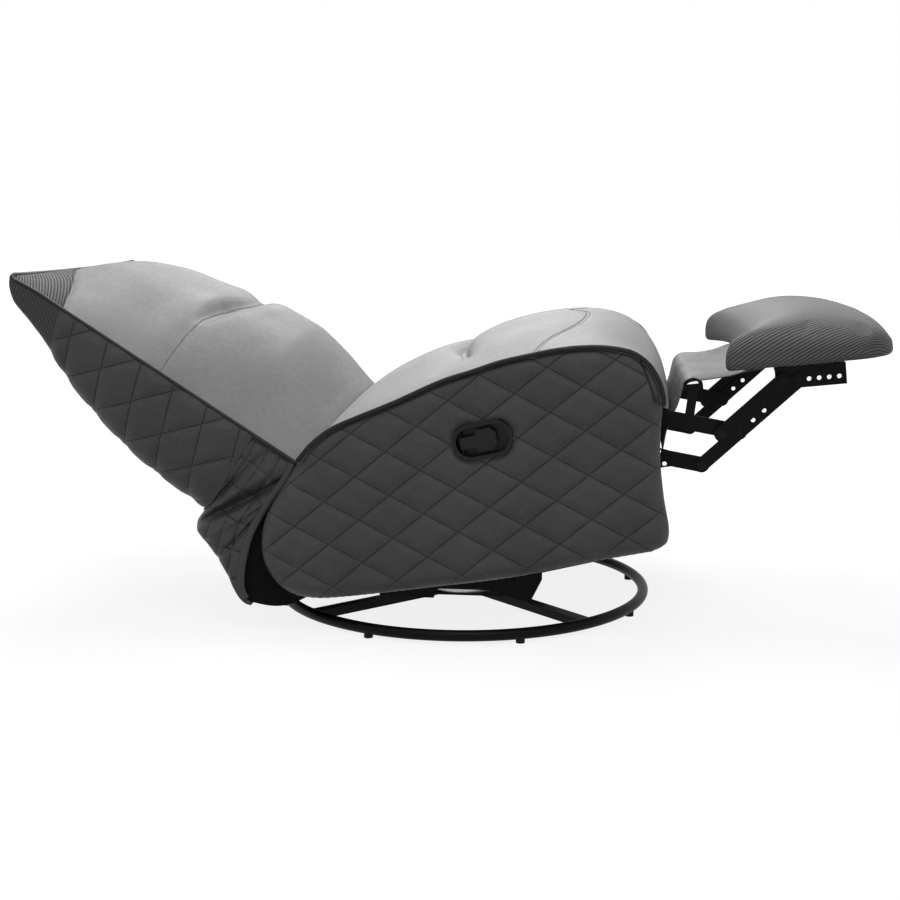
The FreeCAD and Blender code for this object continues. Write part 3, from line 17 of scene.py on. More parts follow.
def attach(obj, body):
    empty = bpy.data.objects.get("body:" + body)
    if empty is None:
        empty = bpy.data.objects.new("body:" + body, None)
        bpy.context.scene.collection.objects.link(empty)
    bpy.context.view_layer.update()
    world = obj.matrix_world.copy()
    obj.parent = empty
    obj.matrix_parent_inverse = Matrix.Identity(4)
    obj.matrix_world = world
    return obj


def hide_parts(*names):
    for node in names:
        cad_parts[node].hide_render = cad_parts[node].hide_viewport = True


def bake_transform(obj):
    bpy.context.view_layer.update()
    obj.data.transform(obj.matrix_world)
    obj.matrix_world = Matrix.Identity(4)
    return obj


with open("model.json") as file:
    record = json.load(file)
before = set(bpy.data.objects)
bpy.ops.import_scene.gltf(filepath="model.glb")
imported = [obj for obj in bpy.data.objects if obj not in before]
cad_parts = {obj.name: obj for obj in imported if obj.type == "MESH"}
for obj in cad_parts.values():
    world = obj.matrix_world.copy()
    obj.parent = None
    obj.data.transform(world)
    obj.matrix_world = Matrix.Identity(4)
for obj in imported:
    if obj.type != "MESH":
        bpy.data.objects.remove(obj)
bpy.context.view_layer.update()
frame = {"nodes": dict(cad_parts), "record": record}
print("hard parts loaded:", len(frame["nodes"]), "nodes")

# %% [markdown]
# ## Drawing frames
# A chair is easier to draw level than rocked back. So the seat is drawn in millimetres as if it
# stood level, and the back as if it lay flat along its own length; two small functions then carry
# any drawn point to its true place in metres. Every soft piece below is drawn in one of the two.

# %% Level seat and flat back to the real frame
ROCKED_BACK = math.radians(6.0)
ROCK_HEIGHT = 130.0
HINGE_X, HINGE_Z = -227.0, 343.0
BACK_LEAN = math.radians(38.7)


def on_seat(x, y, z):
    """Point of the level seat drawing, in millimetres, to the chair's frame in metres."""
    x, y, z = np.broadcast_arrays(*(np.asarray(value, float) for value in (x, y, z)))
    up = z - ROCK_HEIGHT
    turned_x = x * math.cos(ROCKED_BACK) - up * math.sin(ROCKED_BACK)
    turned_z = x * math.sin(ROCKED_BACK) + up * math.cos(ROCKED_BACK) + ROCK_HEIGHT
    return np.stack([turned_x, y, turned_z], -1) / 1000


def on_back(along, y, height):
    """Point of the flat back drawing: along runs up the back, height stands off it to the front."""
    along, y, height = (np.asarray(value, float) for value in (along, y, height))
    x = HINGE_X - along * math.cos(BACK_LEAN) + height * math.sin(BACK_LEAN)
    z = HINGE_Z + along * math.sin(BACK_LEAN) + height * math.cos(BACK_LEAN)
    return on_seat(x, y, z)


print("recline hinge in metres:", np.round(on_back(0, 0, 0), 4))

# %% [markdown]
# ## Lines
# Upholstery follows long fair curves. A Catmull-Rom curve goes through every drawn point, so a few
# measured points make a smooth line, which is then divided into even steps.

# %% Curves


def fair_line(points, count):
    """Even points on a smooth curve through the given ones."""
    p = np.asarray(points, float)
    p = np.vstack([2 * p[0] - p[1], p, 2 * p[-1] - p[-2]])
    t = np.linspace(0, 1, 24, endpoint=False)[:, None]
    runs = []
    for a, b, c, d in zip(p[:-3], p[1:-2], p[2:-1], p[3:]):
        bend = (2 * a - 5 * b + 4 * c - d) * t ** 2 + (3 * b - a - 3 * c + d) * t ** 3
        runs.append(b + ((c - a) * t + bend) / 2)
    return even_steps(np.vstack(runs + [p[-2:-1]]), count)


def even_steps(line, count):
    gone = np.r_[0, np.cumsum(np.linalg.norm(np.diff(line, axis=0), axis=1))]
    wanted = np.linspace(0, gone[-1], count)
    return np.stack([np.interp(wanted, gone, axis) for axis in line.T], 1)


def line_length(line):
    return np.linalg.norm(np.diff(line, axis=0), axis=1).sum()


def unit(vectors):
    return vectors / np.linalg.norm(vectors, axis=-1, keepdims=True)


print("a fair line's middle:", fair_line([(0, 0), (50, 10), (100, 0)], 3)[1].tolist())

# %% [markdown]
# ## Meshes
# Meshes are made straight from arrays of points. A skin is a net of rows and columns, which keeps
# every point's place on the pattern known; the seams need that later.

# %% Nets


def new_piece(name, points, faces):
    mesh = bpy.data.meshes.new(name)
    mesh.from_pydata(np.asarray(points).reshape(-1, 3).tolist(), [], faces)
    mesh.shade_smooth()
    piece = bpy.data.objects.new(name, mesh)
    bpy.context.scene.collection.objects.link(piece)
    return piece


def net_faces(rows, columns, start=0, flip=False, ring=False):
    """Quads of a net of points; a ring closes each row on itself."""
    faces = []
    for i in range(rows - 1):
        for j in range(columns if ring else columns - 1):
            k = (j + 1) % columns
            quad = [start + i * columns + j, start + (i + 1) * columns + j,
                    start + (i + 1) * columns + k, start + i * columns + k]
            faces.append(quad[::-1] if flip else quad)
    return faces


# %% [markdown]
# A cord of piping is a ring of points swept along a line. Each ring is turned as little as possible
# from the one before, so the tube doesn't twist.

# %% Tubes
START_SIDE = (0.31, 0.87, 0.38)
END_WIDTH, END_REACH = 0.5, 0.6


def tube_faces(count, sides, start=0):
    """Faces of a swept ring, with both ends closed."""
    last = start + (count - 1) * sides
    ends = [[start + k for k in range(sides)], [last + k for k in reversed(range(sides))]]
    return net_faces(count, sides, start, flip=True, ring=True) + ends


def rings_along(path, radius, sides, flat=1.0):
    """Rings of points swept along a path, without twist; flat thins them to a band."""
    path = np.asarray(path, float)
    ahead = unit(np.gradient(path, axis=0))
    side = np.cross(ahead[0], START_SIDE)
    angles = np.linspace(0, 2 * math.pi, sides, endpoint=False)[:, None]
    rings = []
    for point, forward in zip(path, ahead):
        side = unit(side - forward * side.dot(forward))
        other = np.cross(forward, side)
        rings.append(point + radius * (np.cos(angles) * side + flat * np.sin(angles) * other))
    return np.array(rings)


def tube(name, path, radius, sides=12):
    """Closed round tube, its ends drawn in and pushed out a little."""
    rings = rings_along(path, radius, sides)
    first, last = rings[0].mean(0), rings[-1].mean(0)
    ends = [first + (rings[0] - first) * END_WIDTH, last + (rings[-1] - last) * END_WIDTH]
    rings = np.concatenate([ends[:1], rings, ends[1:]])
    rings[0] += unit(path[0] - path[1]) * radius * END_REACH
    rings[-1] += unit(path[-1] - path[-2]) * radius * END_REACH
    return new_piece(name, rings, tube_faces(len(rings), sides))


# %% [markdown]
# ## Finishes that several materials share
# Leather grain, stitching, ribbed cloth, edge wear and dust turn up on many pieces, so each is a
# shader node group: a small machine with named sockets, built once and placed in each material with
# its own values. A group here puts out only heights and masks; the shader stays in the material.

# %% Helpers that wire nodes


def add_node(tree, kind, inputs=None, **settings):
    made = tree.nodes.new("ShaderNode" + kind)
    for key, value in settings.items():
        setattr(made, key, value)
    for key, value in (inputs or {}).items():
        if isinstance(value, bpy.types.NodeSocket):
            tree.links.new(value, made.inputs[key])
        else:
            made.inputs[key].default_value = value
    return made


def sums(tree, operation, first, second=0.0, third=0.0):
    return add_node(tree, "Math", {0: first, 1: second, 2: third}, operation=operation).outputs[0]


def ramp(tree, value, low, high, to_low=0.0, to_high=1.0):
    """Value mapped smoothly from one span to another."""
    spans = {"Value": value, "From Min": low, "From Max": high, "To Min": to_low, "To Max": to_high}
    return add_node(tree, "MapRange", spans, interpolation_type="SMOOTHSTEP").outputs["Result"]


def noise(tree, scale, detail, stretch=None, distortion=0.0):
    """Noise fixed to the object; stretch scales the axes first, which draws it out into fibres."""
    place = add_node(tree, "TexCoord").outputs["Object"]
    if stretch:
        place = add_node(tree, "Mapping", {"Vector": place, "Scale": stretch}).outputs["Vector"]
    values = {"Vector": place, "Scale": scale, "Detail": detail, "Distortion": distortion}
    return add_node(tree, "TexNoise", values).outputs["Fac"]


# %% [markdown]
# A group reads what a skin stores at its points, gets its inputs from named sockets and ends in
# named outputs.

# %% Helpers that make groups


def stored(tree, name):
    """The three numbers that a skin stores at its points under a name."""
    vector = add_node(tree, "Attribute", attribute_name=name).outputs["Vector"]
    return add_node(tree, "SeparateXYZ", {"Vector": vector}).outputs


def new_group(name, inputs, outputs):
    group = bpy.data.node_groups.new(name, "ShaderNodeTree")
    for label, value in inputs.items():
        socket = group.interface.new_socket(label, in_out="INPUT", socket_type="NodeSocketFloat")
        socket.default_value = value
    for label in outputs:
        group.interface.new_socket(label, in_out="OUTPUT", socket_type="NodeSocketFloat")
    return group, group.nodes.new("NodeGroupInput").outputs


def put_out(group, *values):
    """Wires the values to the group's outputs, in order."""
    for value, socket in zip(values, group.nodes.new("NodeGroupOutput").inputs):
        group.links.new(value, socket)
    print("group", group.name, "has", len(group.nodes), "nodes")
    return group


# %% [markdown]
# ### Leather grain
# Grain is a net of fine creases round small pebbles. Voronoi cells give both at once: the distance
# to a cell's edge is low in the creases and flat on the pebbles. Two slower noises give the cloudy
# tone that real hides have.

# %% Grain group
tree, given = new_group("leather grain", {"Pebbles per metre": 420.0}, ["Height", "Tone"])
place = add_node(tree, "TexCoord").outputs["Object"]
cells = add_node(tree, "TexVoronoi", {"Vector": place, "Scale": given[0], "Randomness": 0.9},
                 feature="DISTANCE_TO_EDGE").outputs["Distance"]
height = sums(tree, "MULTIPLY_ADD", noise(tree, 1400.0, 2.0), 0.35, ramp(tree, cells, 0.0, 0.22))
clouds = sums(tree, "MULTIPLY", noise(tree, 9.0, 5.0), 0.55)
tone = sums(tree, "MULTIPLY_ADD", noise(tree, 130.0, 4.0), 0.45, clouds)
leather_grain = put_out(tree, height, ramp(tree, tone, 0.32, 0.68))

# %% [markdown]
# ### Quilt stitching
# Each quilted skin carries its own pattern coordinates: two numbers that are whole on the sewn
# lines. So the group only asks how far the nearest whole number is. Between the lines nothing
# happens; on a line there is a pulled-in crease, and in it the thread, broken into stitches.

# %% Stitching group
STITCHES_PER_CELL, THREAD_HALF, DASH_START = 12.0, 0.009, 0.16
tree, given = new_group("quilt stitching", {"Line half width": 0.023}, ["Crease", "Thread"])
pattern = stored(tree, "quilt")
lines, threads = [], []
for across, along in (("X", "Y"), ("Y", "X")):
    off = sums(tree, "PINGPONG", pattern[across], 0.5)
    lines.append(ramp(tree, off, 0.0, given[0], 1.0, 0.0))
    dash = sums(tree, "PINGPONG", sums(tree, "MULTIPLY", pattern[along], STITCHES_PER_CELL), 0.5)
    near = sums(tree, "LESS_THAN", off, THREAD_HALF)
    threads.append(sums(tree, "MULTIPLY", near, sums(tree, "GREATER_THAN", dash, DASH_START)))
quilt_stitching = put_out(tree, *(sums(tree, "MULTIPLY", sums(tree, "MAXIMUM", *pair), pattern["Z"])
                                  for pair in (lines, threads)))

# %% [markdown]
# ### Ribbed cloth
# The footrest and the top of the headrest are covered in a stretch cloth with fine raised ribs. A
# skin of this cloth stores a number that grows by one from rib to rib, so the ribs follow the cloth
# over every edge; a second number lets them fade where the cloth is pulled flat.

# %% Ribbing group
tree, given = new_group("cloth ribs", {"Knit per metre": 900.0}, ["Height", "Shade"])
rib = stored(tree, "rib")
wave = sums(tree, "MULTIPLY", sums(tree, "PINGPONG", rib["X"], 0.5), 2.0)
raised = sums(tree, "MULTIPLY", ramp(tree, wave, 0.1, 0.8), rib["Y"])
height = sums(tree, "MULTIPLY_ADD", noise(tree, given[0], 2.0), 0.18, raised)
pulled_flat = sums(tree, "SUBTRACT", 1.0, rib["Y"])
cloth_ribs = put_out(tree, height, sums(tree, "MAXIMUM", ramp(tree, wave, 0.0, 0.6), pulled_flat))

# %% [markdown]
# ### Worn edges and settled dust
# Paint wears first on edges. A Bevel node gives the normal of a slightly rounded edge; where it
# differs from the true normal there is an edge, and a noise breaks the wear up. Dust is a faint
# noise on what faces up.

# %% Wear group
tree, given = new_group("edge wear", {"Radius": 0.0015, "Amount": 0.5}, ["Wear", "Dust"])
surface = add_node(tree, "NewGeometry").outputs["Normal"]
rounded = add_node(tree, "Bevel", {"Radius": given[0]}, samples=4).outputs["Normal"]
same = add_node(tree, "VectorMath", {0: surface, 1: rounded}, operation="DOT_PRODUCT").outputs["Value"]
patchy = noise(tree, 95.0, 4.0)
edge = ramp(tree, same, 0.75, 0.98, 1.0, 0.0)
worn = sums(tree, "MULTIPLY", edge, ramp(tree, patchy, 0.45, 0.75))
facing = add_node(tree, "SeparateXYZ", {"Vector": surface}).outputs["Z"]
dust = sums(tree, "MULTIPLY", ramp(tree, facing, 0.3, 1.0), ramp(tree, patchy, 0.35, 0.8))
edge_wear = put_out(tree, sums(tree, "MULTIPLY", worn, given[1]), dust)

# %% [markdown]
# ## Materials
# Each finish is a Principled shader fed by those groups. Constants such as gloss are set on the
# shader's own sockets; only what varies over the surface is wired. Colours are linear values,
# written as they should look in plain light.

# %% Helpers that fill a material


def new_finish(name, **constants):
    material = bpy.data.materials.new(name)
    material.use_nodes = True
    shader = material.node_tree.nodes["Principled BSDF"]
    for label, value in constants.items():
        shader.inputs[label.replace("_", " ")].default_value = value
    return material, material.node_tree, shader


def placed(tree, group, inputs=None):
    made = tree.nodes.new("ShaderNodeGroup")
    made.node_tree = group
    for label, value in (inputs or {}).items():
        made.inputs[label].default_value = value
    return made.outputs


def mixed(tree, share, first, second):
    """Colour between two others; a colour may be a value or a socket."""
    mix = add_node(tree, "Mix", {0: share}, data_type="RGBA")
    for index, color in ((6, first), (7, second)):
        if isinstance(color, bpy.types.NodeSocket):
            tree.links.new(color, mix.inputs[index])
        else:
            mix.inputs[index].default_value = (*color, 1.0)
    return mix.outputs[2]


def feed(tree, shader, color, rough, height, depth):
    """Wires what varies into the shader: colour, roughness and a bump of some depth in metres."""
    bump = add_node(tree, "Bump", {"Height": height, "Distance": depth, "Strength": 1.0})
    for label, value in (("Base Color", color), ("Roughness", rough), ("Normal", bump.outputs[0])):
        tree.links.new(value, shader.inputs[label])


# %% [markdown]
# Leather takes its tone and relief from the grain group. Quilted leather adds the stitching: the
# crease is deep and carries painted shade, and the dark thread is raised in it.

# %% Leathers
CREASE_DEPTH, THREAD_RISE, CREASE_SHADE_TONE, THREAD_TONE = -7.0, 2.5, 0.25, 0.45


def leather(name, dark, light, rough, pebbles, depth, quilted=False, gloss=0.35):
    material, tree, shader = new_finish(name, Specular_IOR_Level=gloss)
    grain = placed(tree, leather_grain, {"Pebbles per metre": pebbles})
    color, height = mixed(tree, grain["Tone"], dark, light), grain["Height"]
    if quilted:
        sewing = placed(tree, quilt_stitching)
        # The crease is painted darker: painted shade in the groove, not a colour of the leather.
        color = mixed(tree, sewing["Crease"], color, tuple(CREASE_SHADE_TONE * c for c in dark))
        color = mixed(tree, sewing["Thread"], color, tuple(THREAD_TONE * c for c in dark))
        dip = sums(tree, "MULTIPLY_ADD", sewing["Crease"], CREASE_DEPTH, height)
        height = sums(tree, "MULTIPLY_ADD", sewing["Thread"], THREAD_RISE, dip)
    gloss_tone = ramp(tree, grain["Tone"], 0.0, 1.0, rough + 0.05, rough - 0.05)
    feed(tree, shader, color, gloss_tone, height, depth)
    return material


SEAT_GREY = leather("seat leather", (0.325, 0.325, 0.33), (0.365, 0.365, 0.37), 0.55, 520.0, 0.0001)
BACK_GREY = leather("back leather", (0.215, 0.217, 0.221), (0.26, 0.262, 0.266), 0.48, 520.0, 0.00013,
                    gloss=0.4)
QUILT_GREY = leather("quilted leather", (0.066, 0.066, 0.069), (0.084, 0.084, 0.088), 0.48, 430.0, 0.00014,
                     quilted=True)
PLAIN_CHARCOAL = leather("plain charcoal leather", (0.060, 0.060, 0.063), (0.076, 0.076, 0.080), 0.45,
                         430.0, 0.00014)
PIPING_BLACK = leather("piping leather", (0.010, 0.010, 0.0105), (0.016, 0.016, 0.017), 0.40, 600.0, 0.0001,
                       gloss=0.22)
FLAP_GREY = leather("flap leather", (0.12, 0.12, 0.123), (0.155, 0.155, 0.158), 0.42, 520.0, 0.00012)
print("leathers made:", [m.name for m in bpy.data.materials if "leather" in m.name])

# %% [markdown]
# The ribbed cloth is painted darker between its ribs, as shade in the grooves. Thread is a matt
# twisted yarn, a shade darker than the leather that it holds. It needs only one fine noise for its
# colour, roughness and relief, and so do most hard materials, so one function makes them all.

# %% Cloth and thread
RIB_DEPTH = 0.0011


def ribbed_cloth(name, groove, crest):
    material, tree, shader = new_finish(name, Specular_IOR_Level=0.4)
    ribs = placed(tree, cloth_ribs)
    rough = ramp(tree, ribs["Shade"], 0.0, 1.0, 0.75, 0.55)
    # The groove colour is painted shade between the ribs; the crest colour is the cloth's own.
    feed(tree, shader, mixed(tree, ribs["Shade"], groove, crest), rough, ribs["Height"], RIB_DEPTH)
    return material


def grained(name, dark, light, rough, grain, depth, worn=None, **constants):
    """Finish that follows one noise; worn is the colour that shows where edges are rubbed."""
    material, tree, shader = new_finish(name, **constants)
    fleck = noise(tree, *grain)
    color = mixed(tree, fleck, dark, light)
    if worn:
        marks = placed(tree, edge_wear, {"Radius": 0.0010, "Amount": 0.25})
        color = mixed(tree, marks["Wear"], color, worn)
    feed(tree, shader, color, ramp(tree, fleck, 0.2, 0.8, *rough), fleck, depth)
    return material


YARN = {"rough": (0.85, 0.65), "grain": (1600.0, 2.0), "depth": 0.0002, "Specular_IOR_Level": 0.1}
RIBBED_GREY = ribbed_cloth("ribbed cloth", (0.034, 0.034, 0.036), (0.145, 0.145, 0.148))
# The headrest band is the same ribbed cloth made darker: painted shade, not a darker cloth.
RIBBED_SHADED = ribbed_cloth("ribbed headrest cloth in painted shade", (0.016, 0.016, 0.017), (0.085, 0.085, 0.088))
DARK_THREAD = grained("dark thread", (0.035, 0.035, 0.036), (0.07, 0.07, 0.072), **YARN)
BLACK_LINING = grained("black lining cloth", (0.003, 0.003, 0.003), (0.008, 0.008, 0.008), **YARN)
print("ribbed cloth and thread made")

# %% [markdown]
# Powder-coated steel has a fine orange-peel surface, wears to bare metal at its edges and holds
# dust on top. Zinc-plated pins are bright with faint brushing. Plywood shows long fibres. Moulded
# plastic and rubber have a fine spark-eroded grain.

# %% Steel, timber, plastic and rubber


def painted_steel(name, paint, bare):
    material, tree, shader = new_finish(name, Specular_IOR_Level=0.1)
    marks = placed(tree, edge_wear, {"Radius": 0.0012, "Amount": 0.35})
    dusty = mixed(tree, sums(tree, "MULTIPLY", marks["Dust"], 0.04), paint, (0.20, 0.19, 0.18))
    tree.links.new(sums(tree, "MULTIPLY", marks["Wear"], 0.8), shader.inputs["Metallic"])
    peel = noise(tree, 750.0, 2.0)
    color = mixed(tree, marks["Wear"], dusty, bare)
    feed(tree, shader, color, ramp(tree, peel, 0.2, 0.8, 0.34, 0.46), peel, 0.00008)
    return material


PLY = {"rough": (0.75, 0.6), "grain": (1.0, 6.0, (9.0, 60.0, 260.0), 0.6), "depth": 0.0002}
MOULDED = {"worn": (0.12, 0.12, 0.125), "Specular_IOR_Level": 0.22}
BLACK_STEEL = painted_steel("black powder coat", (0.003, 0.003, 0.0033), (0.30, 0.30, 0.31))
BLACK_PINS = painted_steel("blackened pins", (0.014, 0.014, 0.015), (0.38, 0.38, 0.39))
BRIGHT_STEEL = grained("zinc plating", (0.42, 0.42, 0.44), (0.62, 0.62, 0.63), (0.42, 0.26),
                       (1.0, 3.0, (900.0, 60.0, 900.0)), 0.00004, Metallic=1.0)
RAW_PLYWOOD = grained("raw plywood", (0.58, 0.42, 0.26), (0.44, 0.29, 0.16), **PLY)
STAINED_PLYWOOD = grained("stained plywood", (0.010, 0.010, 0.010), (0.005, 0.005, 0.005), **PLY)
BLACK_PLASTIC = grained("black plastic", (0.005, 0.005, 0.0055), (0.009, 0.009, 0.0095), (0.32, 0.44),
                        (900.0, 3.0), 0.00006, **MOULDED)
GLIDE_RUBBER = grained("glide rubber", (0.012, 0.012, 0.012), (0.02, 0.02, 0.02), (0.69, 0.81),
                       (500.0, 3.0), 0.0001, **MOULDED)

# %% [markdown]
# The record that came with the CAD model says which finish each node has, so the hard parts are
# painted in one loop. Pins that show in the linkage are blackened, and boards that show below the
# leather are stained black.

# %% Paint the hard parts
hard_finish = {"black_steel": BLACK_STEEL, "bright_steel": BRIGHT_STEEL, "plywood": RAW_PLYWOOD,
               "black_plastic": BLACK_PLASTIC, "glide_rubber": GLIDE_RUBBER}
SHOWN_BOARDS = ("front_rail", "footrest_board", "side_board_left", "side_board_right", "rear_rail")
SHOWN_PINS = ("mech_pins", "lower_bar_pins", "upper_bar_pins", "footrest_pins", "handle_pin")
special_finish = {**dict.fromkeys(SHOWN_BOARDS, STAINED_PLYWOOD), **dict.fromkeys(SHOWN_PINS, BLACK_PINS)}
painted = [row for row in frame["record"]["subparts"] if row["material_slot"] in hard_finish]
for row in painted:
    mesh = frame["nodes"][row["node"]].data
    mesh.materials.clear()
    mesh.materials.append(special_finish.get(row["node"], hard_finish[row["material_slot"]]))
print("hard parts painted:", len(painted))

# %% [markdown]
# ## Small helpers for skins
# Distances on a flat pattern decide most shapes below: how far a point is from an edge, a seam or a
# hole. A tree of points answers that fast. Two profiles turn a distance into a height: one arrives
# level like a parabola, the other rolls over like a quarter of a circle.

# %% Distances and profiles


def point_tree(points):
    tree = KDTree(len(points))
    for index, point in enumerate(points):
        tree.insert((point[0], point[1], 0.0), index)
    tree.balance()
    return tree


def distances(tree, points):
    """Distance of each flat point to the nearest one in a tree."""
    return np.array([tree.find((*point, 0.0))[2] for point in points])


def clamp(values):
    return np.clip(values, 0, 1)


def settle(values):
    """From 0 up to 1 along a parabola that ends level."""
    return 1 - (1 - clamp(values)) ** 2


def quarter_round(values):
    """From 0 up to 1 along a quarter of a circle."""
    return np.sqrt(settle(values))


def mark_points(piece, name, *values):
    """Stores three numbers at each point of a piece, for its material to read."""
    mark = piece.data.attributes.new(name, "FLOAT_VECTOR", "POINT")
    mark.data.foreach_set("vector", np.stack(np.broadcast_arrays(*values), -1).astype(np.float32).ravel())


def thicken(piece, gauge, offset=-1.0):
    thick = piece.modifiers.new("leather thickness", "SOLIDIFY")
    thick.thickness, thick.offset = gauge, offset


# %% [markdown]
# ## A quilted skin
# Quilting is foam held down along crossing rows of stitches, so it swells between the rows. If the
# mesh ignored the rows, every crease would be a staircase. So the points are laid out on the
# pattern itself, twelve steps to a diamond, and a constrained Delaunay triangulation joins them to
# the piece's own outline. The piece is drawn flat, as it is cut, and a function places it.

# %% Points of a quilt
QUILT_STEPS, EDGE_RINGS, LATTICE_MARGIN = 12, (1.5, 4.0, 8.0, 13.0), 16.0


def quilt_points(outline, matrix, knot, edge_tree):
    """The outline, rings just inside it, and the pattern's own lattice clear of them."""
    after, before = np.roll(outline, -1, 0), np.roll(outline, 1, 0)
    inward = unit(np.stack([(before - after)[:, 1], (after - before)[:, 0]], 1))
    inward *= np.sign(np.sum(outline[:, 0] * after[:, 1] - after[:, 0] * outline[:, 1]))
    corners = (outline - knot) @ matrix.T
    low, high = np.floor(corners.min(0)), np.ceil(corners.max(0))
    steps = [np.arange(low[k], high[k] + 0.01, 1 / QUILT_STEPS) for k in (0, 1)]
    lattice = np.stack(np.meshgrid(*steps), -1).reshape(-1, 2) @ np.linalg.inv(matrix).T + knot
    lattice = lattice[distances(edge_tree, lattice) > LATTICE_MARGIN]
    return np.vstack([outline] + [outline + inward * off for off in EDGE_RINGS] + [lattice])


def inside(loop, point):
    """Even-odd test of a point against a closed loop."""
    x, y = loop[:, 0], loop[:, 1]
    nx, ny = np.roll(x, -1), np.roll(y, -1)
    crosses = (y > point[1]) != (ny > point[1])
    reach = x + (point[1] - y) * (nx - x) / np.where(crosses, ny - y, 1.0)
    return bool(np.sum(crosses & (point[0] < reach)) % 2)


# %% [markdown]
# The triangulation takes a hole and a seam as fixed edges, so both stay sharp. Each point then
# learns how far it is from the nearest row and from the edge, and the placing function turns that
# into a swollen skin. The rows themselves are stored for the stitching in the material.

# %% Skin of a quilt
SWELL_WIDTH, LEATHER_GAUGE = 20.0, 0.003


def off_row(cells):
    """Distance to the nearest sewn row, in cells."""
    return np.abs((cells + 0.5) % 1.0 - 0.5)


def quilted_skin(name, outline, pattern, place, hole=None, seam=None):
    """Skin of a flat outline in millimetres, and its flat points.

    The pattern is (matrix, knot): matrix @ (point - knot) is whole on the sewn rows.
    """
    matrix, knot = pattern
    edge_tree = point_tree(even_steps(np.vstack([outline, outline[:1]]), 1500))
    points, edges = quilt_points(outline, matrix, knot, edge_tree), []
    for loop, closed in ((hole, True), (seam, False)):
        if loop is not None:
            first = len(points)
            points = np.vstack([points, loop])
            edges += [(first + k, first + k + 1) for k in range(len(loop) - 1)]
            edges += [(first + len(loop) - 1, first)] if closed else []
    flat, _, faces = geometry.delaunay_2d_cdt(
        [Vector(p) for p in points], edges, [list(range(len(outline)))], 1, 0.01)[:3]
    flat = np.array([tuple(p) for p in flat])
    if hole is not None:
        faces = [face for face in faces if not inside(hole, flat[face].mean(0))]
    kept = np.unique(np.concatenate([np.asarray(face) for face in faces]))
    new_index = np.full(len(flat), -1)
    new_index[kept] = np.arange(len(kept))
    flat = flat[kept]
    rows = (flat - knot) @ matrix.T
    pitch = 1 / np.linalg.norm(matrix, axis=1)
    swell = np.prod(settle(off_row(rows) * pitch / SWELL_WIDTH), axis=1)
    solid, sewn = place(*flat.T, swell, distances(edge_tree, flat))
    piece = new_piece(name, solid, [new_index[np.asarray(face)].tolist() for face in faces])
    mark_points(piece, "quilt", *rows.T, sewn)
    thicken(piece, LEATHER_GAUGE)
    return piece, flat


# %% [markdown]
# ## Side panels
# Each side is one quilted panel. Its top edge runs under a cord of piping, where it meets the seat;
# the other edges roll in towards the timber side board. The right-hand panel has a long round hole
# for the release handle's cup, and both have a short dart at the front. The rows cross at points
# measured from the chair.

# %% Outline, dart and hole of a side panel
PIPING_LINE = [(-227, 343), (-199, 369), (-161, 392), (-113, 408), (-50, 427), (32, 455), (85, 467),
               (137, 479), (190, 486), (228, 490), (266, 491), (304, 488), (340, 480), (361, 470),
               (380, 451), (393, 424), (398, 398), (398, 385)]
PANEL_FRONT = [(398, 385), (391, 340), (386, 290), (387, 225), (391, 172), (384, 146), (360, 134)]
PANEL_LOW = [(360, 134), (240, 122), (120, 107), (-20, 100), (-175, 94), (-240, 97), (-283, 115),
             (-309, 152), (-315, 195), (-301, 245), (-262, 300), (-227, 343)]
PANEL_PATTERN = (np.array([[1 / 117.2, 1 / 76.6], [1 / 110.8, -1 / 74.4]]), np.array([40.3, 423.2]))
DART = [(364, 468), (371, 451), (376, 432), (381, 413), (386, 392)]
CUP_CENTRE, CUP_SLOPE, CUP_LENGTH, CUP_HEIGHT = np.array([93.0, 352.0]), math.radians(6.0), 99.0, 58.0

panel_top = fair_line(PIPING_LINE, 190)
panel_rest = np.vstack([fair_line(PANEL_FRONT, 64)[1:], fair_line(PANEL_LOW, 210)[1:-1]])
panel_outline = np.vstack([panel_top, panel_rest])
top_tree = point_tree(even_steps(panel_top, 600))
rest_tree = point_tree(even_steps(np.vstack([panel_top[-1:], panel_rest, panel_top[:1]]), 900))
dart_line = fair_line(DART, 40)
dart_tree = point_tree(even_steps(dart_line, 120))


def long_hole(length, height, count=72):
    """Outline of a slot with round ends, turned to lie along the handle cup."""
    radius, reach = height / 2, (length - height) / 2
    angles = np.linspace(0, 2 * math.pi, count, endpoint=False)
    across = radius * np.cos(angles) + np.copysign(reach, np.cos(angles))
    turn = np.array([[math.cos(CUP_SLOPE), -math.sin(CUP_SLOPE)], [math.sin(CUP_SLOPE), math.cos(CUP_SLOPE)]])
    return np.stack([across, radius * np.sin(angles)], 1) @ turn.T + CUP_CENTRE


cup_hole = long_hole(CUP_LENGTH, CUP_HEIGHT)
cup_tree = point_tree(even_steps(np.vstack([cup_hole, cup_hole[:1]]), 300))
print("side panel outline", len(panel_outline), "points")

# %% [markdown]
# The placing function lifts the flat panel: it swells between the rows, stays quiet near edges and
# the hole, dips at the dart, tucks in under the piping and rolls round to the board.

# %% Cut and place the two side panels
SEAM_Y, BOARD_Y = 352.0, 331.0
PANEL_SWELL, PLAIN_SWELL, PANEL_SINK = 5.5, 0.6, 2.0
QUIET_EDGE, QUIET_CUP, UNSEWN_EDGE = 22.0, 16.0, 6.0
DART_DIP, DART_WIDTH = 2.5, 4.0
TOP_TUCK, TOP_ROLL, BOARD_ROLL = 7.0, 15.0, 30.0


